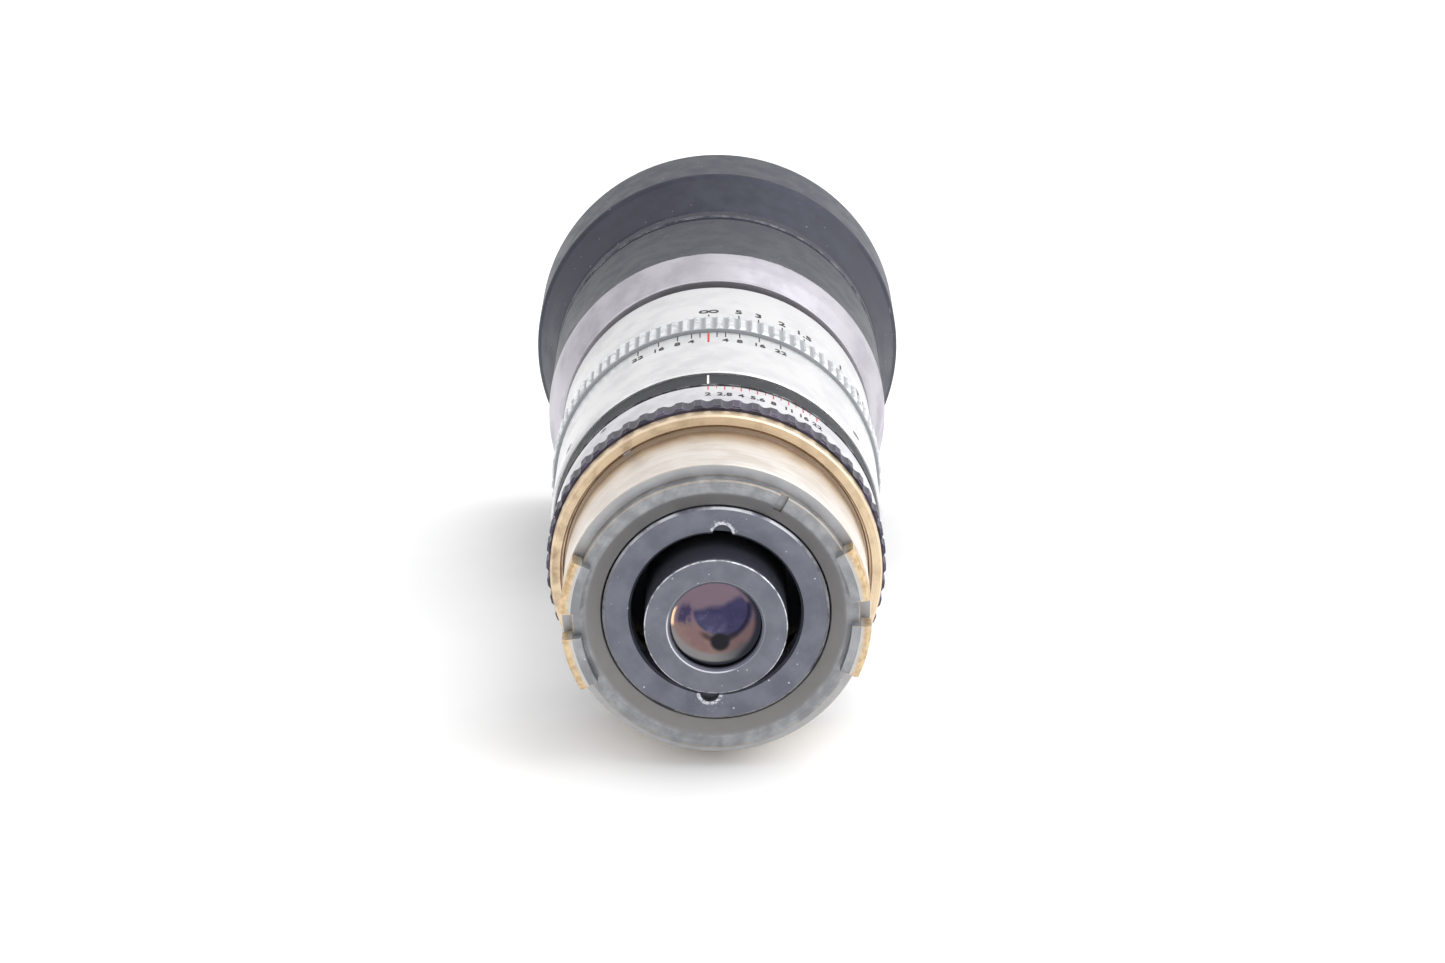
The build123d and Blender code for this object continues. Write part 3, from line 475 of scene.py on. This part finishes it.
def tarnished_brass(name, base, shade, dark):
    """Bare brass, rubbed bright on its edges, browned in clouds, and browner to the left as painted shade.
    """
    f = Finish(name, Metallic=1.0)
    rings = f.lathe(0.10)
    tarnish_and_painted_shade = f.ramp(f.noise(3.0, 5.0), 0.42, 0.72)
    # Painted shade: the browning is stronger on the left, away from the light.
    left = f.ramp(f.x, -20.0, 12.0, 1.0, 0.0)
    tarnish_and_painted_shade = f.math("MULTIPLY", tarnish_and_painted_shade, f.ramp(left, 0.0, 1.0, 0.45, 1.0))
    edge = f.edges(0.25)
    colour = f.mix(f.ramp(rings, 0.3, 0.75), base, shade)
    colour = f.mix(tarnish_and_painted_shade, colour, dark)
    colour = f.mix(f.both(edge, 0.6), colour, srgb(246, 226, 208))
    rough = f.math("ADD", f.math("MULTIPLY", tarnish_and_painted_shade, 0.22), 0.34)
    return f.close(colour, rough, normal=f.bump(rings, 0.005))


def tail_finish():
    """The tail: nickel on its wall, grey oxide on what faces back, and brass on worn edges."""
    f = Finish("tail_finish")
    rings = f.lathe(0.14)
    smear = f.ramp(f.noise(2.6, 4.0), 0.35, 0.70)
    rear = f.short(f.y, LUG_STATION, 0.1)
    lugs = f.both(f.beyond(f.radius, LUG_EDGE), rear)
    wall = f.both(f.beyond(f.radius, WALL_EDGE), f.math("SUBTRACT", 1.0, rear))
    undercut = f.both(f.beyond(f.radius, UNDERCUT_EDGE, 0.05), f.beyond(f.y, UNDERCUT_STATION, 0.05))
    wall = f.either(wall, undercut)
    bare = tail_wear(f, lugs)
    brass = f.mix(f.ramp(f.noise(0.8), 0.35, 0.65), srgb(214, 190, 152), srgb(186, 158, 120))
    colour = f.mix(wall, tail_oxide(f, rings, smear, lugs), tail_nickel(f, rings))
    colour = f.mix(f.specks(1.6, 0.05), colour, srgb(215, 213, 208))
    colour = f.mix(bare, colour, brass)
    metallic = f.ramp(f.either(wall, bare), 0.0, 1.0, 0.8, 1.0)
    rough = f.ramp(f.either(wall, bare), 0.0, 1.0, 0.46, 0.34)
    rough = f.math("ADD", rough, f.math("MULTIPLY", smear, 0.08))
    return f.close(colour, rough, metallic, f.bump(rings, 0.006))


def tail_wear(f, lugs):
    """Where the tail is rubbed to brass: the lugs' backs and ends, and the rims of step and shelf."""
    fray = f.ramp(f.noise(0.6, 5.0, rough=0.7), 0.30, 0.46)
    streak = f.ramp(f.noise(3.5, 4.0, rough=0.6), 0.30, 0.48)
    backs = f.both(f.ramp(f.radius, *LUG_BACK), lugs)
    ends = f.both(f.edges(0.5, 0.90), lugs)
    bare = f.both(f.either(backs, ends), fray)
    rims = f.either(f.band(f.radius, *STEP_RIM, 0.05), f.ramp(f.radius, *SHELF_RIM))
    worn_side = f.ramp(f.math("SUBTRACT", f.z, f.x), -8.0, 22.0, 0.25, 1.0)
    thin = f.both(f.edges(0.2, 0.90), f.both(rims, f.either(worn_side, streak)))
    outside = f.both(f.ramp(f.radius, *LUG_OUTSIDE), lugs)
    return f.either(f.either(bare, thin), outside)


def tail_oxide(f, rings, smear, lugs):
    """Grey oxide, paler on the shelf and on the lugs, warmer inside the mouth."""
    oxide = f.mix(smear, srgb(130, 131, 135), srgb(160, 161, 163))
    oxide = f.mix(f.both(f.ramp(rings, 0.5, 0.8), 0.4), oxide, srgb(114, 114, 116))
    shelf = f.both(f.beyond(f.radius, STEP_EDGE, 0.05), f.beyond(f.y, SHELF_STATION, 0.1))
    oxide = f.mix(f.math("MULTIPLY", shelf, 0.5), oxide, srgb(196, 196, 198))
    oxide = f.mix(f.math("MULTIPLY", lugs, 0.7), oxide, srgb(204, 203, 201))
    mouth = f.both(f.short(f.radius, MOUTH_EDGE, 0.075), f.beyond(f.y, MOUTH_STATION, 0.2))
    return f.mix(mouth, oxide, srgb(128, 126, 125))


def tail_nickel(f, rings):
    """Warm nickel, tarnished in clouds and browned towards the flange."""
    nickel = f.mix(f.ramp(rings, 0.3, 0.75), srgb(234, 230, 226), srgb(218, 213, 208))
    tarnish = f.both(f.ramp(f.noise(6.0, 4.0, (1, 2, 1)), 0.42, 0.66), 0.5)
    nickel = f.mix(tarnish, nickel, srgb(200, 190, 178))
    brown = f.ramp(f.y, *BROWNED)
    return f.mix(f.math("MULTIPLY", brown, 0.85), nickel, srgb(192, 174, 156))


def steel_finish(name, base, roughness=0.3):
    """Plain steel with grinding marks."""
    f = Finish(name, Metallic=1.0)
    marks = f.noise(0.15, 3.0, (1, 6, 1))
    cloud = f.ramp(f.noise(1.2), 0.35, 0.7)
    colour = f.mix(f.both(cloud, 0.6), base, srgb(120, 118, 116))
    rough = f.math("ADD", f.math("MULTIPLY", marks, 0.2), roughness)
    return f.close(colour, rough, normal=f.bump(marks, 0.003))


def coated_glass(name, film, tint):
    """Polished glass with a thin coating, faint wiping marks and dust."""
    f = Finish(
        name,
        IOR=1.62,
        Transmission_Weight=1.0,
        Thin_Film_Thickness=film,
        Thin_Film_IOR=1.38,
    )
    wipe = f.ramp(f.noise(2.4, 4.0), 0.45, 0.8, 0.0, 0.02)
    dust = f.math("MULTIPLY", f.specks(0.9, 0.06), 0.4)
    colour = f.mix(f.ramp(f.noise(8.0), 0.3, 0.7), tint, srgb(250, 250, 250))
    return f.close(colour, f.math("ADD", wipe, dust, clamp=True))


def rear_painted_reflection():
    """Painted reflections on the rear glass: mauve above, a violet bowl in the middle, amber and grey below.
    """
    f = Finish("rear_painted_reflection", Metallic=1.0)
    drift = f.noise(2.2, 3.0)
    sway = f.math("MULTIPLY", f.math("SUBTRACT", drift, 0.5), 1.2)
    height = f.math("ADD", f.z, sway)
    bowl = f.math("ADD", f.reach(*BOWL_CENTRE), f.math("MULTIPLY", sway, 0.4))
    colour = painted_reflection_ground(f, drift, height)
    colour = painted_reflection_bowl(f, colour, height, bowl)
    colour = painted_reflection_spot(f, colour, bowl)
    colour = painted_reflection_border(f, colour)
    dust = f.both(f.specks(1.0, 0.5, 0.06), 0.35)
    colour = f.mix(dust, colour, srgb(190, 188, 194))
    return f.close(colour, f.ramp(drift, 0.3, 0.7, 0.02, 0.06), normal=f.dome(REAR_CURVE))


def painted_reflection_ground(f, drift, height):
    """Painted reflection: amber below, browner to the right, and mauve above."""
    ground = f.mix(f.ramp(f.x, -1.0, 4.5), srgb(124, 102, 98), srgb(84, 72, 72))
    ground = f.mix(f.both(f.ramp(drift, 0.45, 0.62), 0.5), ground, srgb(112, 88, 92))
    return f.mix(f.ramp(height, *MAUVE_LEVEL), ground, srgb(108, 93, 103))


def painted_reflection_bowl(f, colour, height, bowl):
    """Painted reflection: the violet bowl with a paler painted sheen, its dark rim on the right, and the
    violet wing to its left.
    """
    rim = f.both(f.band(bowl, *BOWL_RING, 0.4), f.ramp(f.x, -0.8, 2.0))
    rim = f.both(rim, f.ramp(f.z, 2.6, 3.6, 1.0, 0.0))
    colour = f.mix(rim, colour, srgb(38, 37, 56))
    wing = f.both(f.band(f.reach(*WING_CENTRE), *WING_RING, 0.4), f.band(height, *WING_LEVEL, 0.7))
    wing = f.both(wing, f.ramp(f.x, -3.4, -2.6, 1.0, 0.0))
    wing = f.both(wing, f.ramp(f.noise(1.1, 3.0), 0.34, 0.5, 0.3, 1.0))
    colour = f.mix(wing, colour, srgb(60, 54, 80))
    near = f.ramp(f.reach(*SHEEN_CENTRE), *SHEEN_EDGE, 1.0, 0.15)
    sheen = f.both(f.ramp(f.noise(1.5, 4.0), 0.36, 0.62, 0.3), near)
    violet = f.mix(sheen, srgb(50, 48, 76), srgb(88, 87, 112))
    level = f.math("SUBTRACT", height, f.ramp(f.x, 0.4, 4.0, 0.0, 1.6))
    inside = f.both(f.ramp(bowl, *BOWL_EDGE, 1.0, 0.0), f.ramp(level, *BOWL_LEVEL, 1.0, 0.0))
    return f.mix(inside, colour, violet)


def painted_reflection_spot(f, colour, bowl):
    """Painted reflection of a dark spot under the bowl, and the painted shade that runs from it along the
    bowl's foot.
    """
    foot = f.both(f.band(bowl, *BOWL_FOOT_RING, 0.35), f.band(f.x, -2.0, 2.6, 0.8))
    foot = f.both(foot, f.ramp(f.z, -1.1, -0.3, 1.0, 0.0))
    colour = f.mix(f.math("MULTIPLY", foot, 0.8), colour, srgb(48, 44, 46))
    return f.mix(f.ramp(f.reach(*SPOT_CENTRE), *SPOT_EDGE, 1.0, 0.0), colour, srgb(37, 37, 42))


def painted_reflection_border(f, colour):
    """Painted reflection and shade: the grey lower border, its dark edge, painted shade at the right and a
    painted highlight at the left.
    """
    border = f.reach(*BORDER_CENTRE)
    grey = f.mix(f.ramp(f.x, -1.5, 4.0), srgb(124, 121, 122), srgb(70, 71, 75))
    colour = f.mix(f.ramp(border, *BORDER_EDGE), colour, grey)
    shade = f.both(f.ramp(f.reach(*SHADE_CENTRE), *SHADE_EDGE), f.ramp(f.x, 1.5, 3.5))
    colour = f.mix(shade, colour, srgb(40, 40, 48))
    colour = f.mix(f.ramp(border, *BORDER_END), colour, srgb(44, 46, 52))
    flare = f.both(f.ramp(f.reach(*FLARE_CENTRE), *FLARE_EDGE), f.band(f.z, *FLARE_LEVEL, 0.4))
    flare = f.both(flare, f.ramp(f.x, -4.0, -3.0, 1.0, 0.0))
    return f.mix(flare, colour, srgb(250, 206, 172))


def cell_finish():
    """The rear cell: grey anodised face, glossy black wall, a rim worn to bare metal, and a painted
    highlight at the lower left of its inner lip.
    """
    f = Finish("cell_finish", Specular_IOR_Level=0.4)
    rings = f.lathe(0.16)
    cloud = f.ramp(f.noise(3.2, 4.0), 0.35, 0.70)
    face = f.short(f.y, CELL_FACE)
    colour = f.mix(cloud, srgb(100, 103, 112), srgb(112, 115, 124))
    colour = f.mix(f.both(f.ramp(rings, 0.5, 0.8), 0.25), colour, srgb(120, 123, 131))
    colour = f.mix(f.specks(1.1, 0.6, 0.11), colour, srgb(190, 192, 198))
    colour = f.mix(face, srgb(96, 99, 112), colour)
    fray = f.ramp(f.noise(1.6, 5.0, rough=0.7), 0.40, 0.56, 0.1, 1.0)
    outer = f.both(f.beyond(f.radius, CELL_RIM, 0.04), f.short(f.y, CELL_CORNER, 0.075))
    inner = f.band(f.radius, *CELL_LIP, 0.06)
    # Painted highlight: the inner lip is painted bare metal mostly at the lower left, and a little
    # elsewhere.
    lip_painted_highlight = f.ramp(f.math("ADD", f.x, f.z), -5.5, -3.0, 1.0, 0.15)
    bare = f.either(f.both(outer, fray), f.both(inner, lip_painted_highlight))
    bare = f.either(bare, f.both(f.scratches(3.0, 0.3, 0.015), f.math("MULTIPLY", face, 0.5)))
    colour = f.mix(bare, colour, srgb(206, 207, 214))
    metallic = f.either(0.7, bare)
    rough = f.ramp(face, 0.0, 1.0, 0.26, 0.42)
    return f.close(colour, rough, metallic, f.bump(rings, 0.005))


def ring_finish():
    """The tail's retaining ring: dark face, deep black bore, and notches scraped by a spanner."""
    f = Finish("ring_finish", Specular_IOR_Level=0.4)
    rings = f.lathe(0.18)
    cloud = f.ramp(f.noise(3.5, 4.0), 0.35, 0.70)
    face = f.both(f.short(f.y, RING_FACE, 0.06), f.beyond(f.radius, RING_HOLE + 0.03))
    colour = f.mix(cloud, srgb(100, 103, 113), srgb(114, 117, 127))
    colour = f.mix(f.both(f.ramp(rings, 0.5, 0.8), 0.25), colour, srgb(120, 123, 132))
    colour = f.mix(f.specks(1.3, 0.6, 0.12), colour, srgb(194, 196, 202))
    colour = f.mix(face, srgb(86, 88, 99), colour)
    bare = ring_wear(f)
    colour = f.mix(bare, colour, srgb(206, 208, 214))
    metallic = f.either(f.math("MULTIPLY", face, 0.8), bare)
    rough = f.ramp(face, 0.0, 1.0, 0.25, 0.42)
    return f.close(colour, rough, metallic, f.bump(rings, 0.006))


def ring_wear(f):
    """Where the ring is scraped bare: round its notches and along its outer corner."""
    notches = [
        f.reach(RING_HOLE * cos(radians(beta)), RING_HOLE * sin(radians(beta)))
        for beta in NOTCH_BETAS
    ]
    reach = f.math("MINIMUM", *notches)
    scrape = f.both(f.band(reach, *NOTCH_RUB, 0.12), f.ramp(f.noise(0.35, 5.0, rough=0.7), 0.42, 0.54))
    streak = f.ramp(f.noise(0.5, 5.0, (1, 1, 3), 0.75), 0.60, 0.68)
    slip = f.both(f.ramp(reach, 1.7, 3.4, 1.0, 0.0), streak)
    corner = f.both(f.beyond(f.radius, RING_RIM), f.ramp(f.noise(5.0, 4.0), 0.36, 0.56))
    return f.both(f.either(f.either(scrape, slip), corner), f.short(f.y, RING_CORNER, 0.05))


def engraving(name, ink, faded):
    """Paint in an engraved mark, worn thin in places."""
    f = Finish(name, Specular_IOR_Level=0.3)
    wear = f.ramp(f.noise(0.35, 4.0), 0.50, 0.72)
    return f.close(f.mix(wear, ink, faded), 0.6, normal=f.bump(f.noise(0.12), 0.01))


def dress_cad():
    """Puts a finish on every node carried over from the CAD model."""
    silver = srgb(206, 206, 208)
    chrome = satin_chrome("satin_chrome", srgb(223, 223, 224), srgb(210, 210, 212), srgb(146, 144, 142))
    lilac = satin_chrome("lilac_chrome", srgb(190, 187, 194), srgb(174, 171, 179), srgb(140, 136, 140))
    scale = satin_chrome("scale_chrome", srgb(220, 219, 222), srgb(200, 199, 204), srgb(146, 144, 142), 0.38)
    slate = black_anodised("slate_black", srgb(60, 62, 71), srgb(69, 71, 80), silver)
    gloss = black_anodised("gloss_black", srgb(26, 27, 33), srgb(40, 41, 48), silver, 0.2, 0.5)
    grip = black_anodised("grip_black", srgb(46, 46, 55), srgb(78, 74, 92), srgb(150, 140, 160), 0.5, 0.4)
    hood = black_anodised("hood_black", srgb(58, 60, 70), srgb(69, 71, 82), silver, wear=0.35)
    inner = black_anodised("inner_black", srgb(40, 41, 47), srgb(52, 53, 59), srgb(160, 160, 162), 0.1, 0.55)
    aluminium = steel_finish("body_aluminium", srgb(200, 201, 204))
    steel = steel_finish("screw_steel", srgb(190, 190, 192))
    blade = steel_finish("blade_steel", srgb(84, 86, 96), 0.4)
    brass = tarnished_brass("flange_brass", srgb(226, 206, 176), srgb(212, 190, 158), srgb(172, 150, 124))
    plain_brass = tarnished_brass("iris_brass", srgb(214, 180, 120), srgb(196, 160, 104), srgb(140, 108, 70))
    violet = coated_glass("violet_glass", 230.0, srgb(232, 222, 240))
    amber = coated_glass("amber_glass", 150.0, srgb(250, 238, 226))
    green = coated_glass("green_glass", 320.0, srgb(236, 246, 240))
    by_slot = {
        "nickel_brass": tail_finish(),
        "worn_brass": brass,
        "steel": steel,
        "black_anodised": slate,
        "body_aluminium": aluminium,
        "satin_chrome": chrome,
        "carriage_black": inner,
        "iris_brass": plain_brass,
        "blade_steel": blade,
        "hood_black": hood,
        "cell_black": inner,
        "coated_glass": violet,
        "clear_glass": green,
    }
    by_node = {
        "aperture_scale_ring": scale,
        "aperture_grip_ring": grip,
        "index_ring": gloss,
        "focus_grip_ring": knurled_chrome(),
        "front_adapter": lilac,
        "front_barrel": slate,
        "tail_retaining_ring": ring_finish(),
        "rear_cell": cell_finish(),
        # the rear glass's colour holds painted reflections and painted shade
        "rear_glass": rear_painted_reflection(),
        "rear_inner_glass": amber,
        "middle_rear_glass": amber,
        "second_glass": amber,
    }
    for name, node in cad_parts.items():
        for slot in node.material_slots:
            slot.material = by_node.get(name) or by_slot[slot.material.name.split(".")[0]]


# ---------------------------------------------------------------- engraved scales

def around(radius, y, beta):
    """A point on the barrel, from millimetres and degrees."""
    angle = radians(beta)
    return Vector((radius * cos(angle), y, radius * sin(angle))) * MM


def add_mark(form, radius, rear, front, beta, width):
    """A thin curved bar of paint, width millimetres wide, between two stations."""
    half = width / radius * 90 / pi
    steps = max(1, ceil(half))
    rows = []
    for step in range(steps + 1):
        angle = beta - half + 2 * half * step / steps
        low, high = radius - PAINT_ROOT, radius + PAINT_LIFT
        corners = ((low, rear), (high, rear), (high, front), (low, front))
        rows.append([form.verts.new(around(r, y, angle)) for r, y in corners])
    for first, second in zip(rows, rows[1:]):
        for k in range(4):
            form.faces.new((first[k], first[(k + 1) % 4], second[(k + 1) % 4], second[k]))
    form.faces.new(rows[0][::-1])
    form.faces.new(rows[-1])


def add_number(form, text, size, radius, y, beta):
    """Figures wrapped on the barrel, upright for someone behind the lens who looks down on them."""
    curve = bpy.data.curves.new("figures", "FONT")
    curve.body = text
    curve.size = size
    curve.extrude = (PAINT_LIFT + PAINT_ROOT) / 2
    curve.offset = 0.012 * size
    curve.align_x = "CENTER"
    curve.align_y = "CENTER"
    curve.resolution_u = 4
    letters = bpy.data.objects.new("figures", curve)
    bpy.context.scene.collection.objects.link(letters)
    mesh = bpy.data.meshes.new_from_object(letters.evaluated_get(bpy.context.evaluated_depsgraph_get()))
    middle = (PAINT_LIFT - PAINT_ROOT) / 2
    for vertex in mesh.vertices:
        across, up, out = vertex.co
        vertex.co = around(radius + middle + out, y + up, beta - across / radius * 180 / pi)
    form.from_mesh(mesh)
    bpy.data.objects.remove(letters)
    bpy.data.curves.remove(curve)
    bpy.data.meshes.remove(mesh)


def piece(name, form, body, material):
    """Turns a form into a named piece that rides on a body."""
    bmesh.ops.recalc_face_normals(form, faces=form.faces)
    mesh = bpy.data.meshes.new(name)
    form.to_mesh(mesh)
    form.free()
    mesh.materials.append(material)
    made = bpy.data.objects.new(name, mesh)
    bpy.context.scene.collection.objects.link(made)
    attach(made, body)
    return made


def aperture_scale(black, red):
    """Stops and their ticks on the aperture ring, and the index on the ring ahead of it."""
    figures = bmesh.new()
    ticks = bmesh.new()
    pitch = APERTURE_TURN / (len(APERTURES) - 1)
    for index, stop in enumerate(APERTURES):
        beta = TOP - index * pitch
        add_number(figures, stop, 1.75, SCALE_BAND, APERTURE_ROW, beta)
        add_mark(ticks, SCALE_BAND, *APERTURE_LINES, beta, 0.16)
        if index:
            add_mark(ticks, SCALE_BAND, *HALF_STOP_LINES, beta + pitch / 2, 0.12)
    piece("aperture_figures", figures, "aperture_ring", black)
    piece("aperture_ticks", ticks, "aperture_ring", red)
    index_mark = bmesh.new()
    add_mark(index_mark, INDEX_BAND, *INDEX_LINES, TOP, 0.28)
    white = engraving("white_ink", srgb(232, 232, 226), srgb(180, 178, 172))
    piece("aperture_index", index_mark, "mount_body", white)


def focus_scale(black, red):
    """Distances on the focus ring, and the index and depth marks on the barrel behind it."""
    figures = bmesh.new()
    add_mark(figures, BARREL_BAND, *FOCUS_LINES, TOP, 0.2)
    for side in (-1, 1):
        add_number(figures, "o", 3.0, BARREL_BAND, FOCUS_ROW, TOP + side * INFINITY_SPREAD)
    for distance in DISTANCES:
        beta = TOP - FOCUS_TURN * NEAREST / distance
        add_mark(figures, BARREL_BAND, *FOCUS_LINES, beta, 0.18)
        add_number(figures, f"{distance:g}", 2.4, BARREL_BAND, FOCUS_ROW, beta)
    piece("focus_figures", figures, "focus_ring_body", black)
    depth = bmesh.new()
    for spread, text in DEPTH_MARKS:
        for side in (-1, 1):
            beta = TOP + side * spread
            add_mark(depth, BARREL_BAND, *DEPTH_LINES, beta, 0.16)
            if text:
                add_number(depth, text, 1.9, BARREL_BAND, DEPTH_ROW, beta)
    piece("depth_marks", depth, "mount_body", black)
    index_mark = bmesh.new()
    add_mark(index_mark, BARREL_BAND, *FOCUS_INDEX_LINES, TOP, 0.3)
    piece("focus_index", index_mark, "mount_body", red)


# ---------------------------------------------------------------- threads and baffles

def ridges(inner, outer, rear, front, pitch):
    """The half section of a ring of sharp ridges, as (radius, y) points."""
    count = int((front - rear) / pitch)
    section = [(outer + 0.05, front), (outer + 0.05, rear)]
    for index in range(count):
        start = rear + index * pitch
        section.append((outer, start))
        section.append((inner, start + pitch / 2))
    section.append((outer, rear + count * pitch))
    return section


def revolved(section, segments=180):
    """A closed ring turned from its half section."""
    form = bmesh.new()
    loops = [
        [form.verts.new(around(radius, y, 360 * k / segments)) for radius, y in section]
        for k in range(segments)
    ]
    count = len(section)
    for k, loop in enumerate(loops):
        following = loops[(k + 1) % segments]
        for j in range(count):
            form.faces.new((loop[j], loop[(j + 1) % count], following[(j + 1) % count], following[j]))
    return form


def hood_details():
    """The filter thread and the light-stopping grooves behind it."""
    thread = black_anodised("thread_black", srgb(60, 60, 66), srgb(84, 84, 90), srgb(186, 186, 188), 0.6)
    form = revolved(ridges(FILTER_BORE - THREAD_DEPTH, FILTER_BORE, *THREAD_SPAN, THREAD_PITCH))
    piece("filter_thread_ridges", form, "optical_carriage", thread)
    baffle = black_anodised("baffle_black", srgb(22, 22, 24), srgb(30, 30, 32), srgb(90, 90, 92), 0.0, 0.7)
    form = revolved(ridges(HOOD_BAFFLE - BAFFLE_DEPTH, HOOD_BAFFLE, *BAFFLE_SPAN, BAFFLE_PITCH))
    piece("hood_baffle_ridges", form, "optical_carriage", baffle)


# ---------------------------------------------------------------- the whole

build_studio()
dress_cad()
black_ink = engraving("black_ink", srgb(30, 30, 32), srgb(96, 96, 98))
red_ink = engraving("red_ink", srgb(186, 46, 38), srgb(206, 120, 110))
aperture_scale(black_ink, red_ink)
focus_scale(black_ink, red_ink)
hood_details()
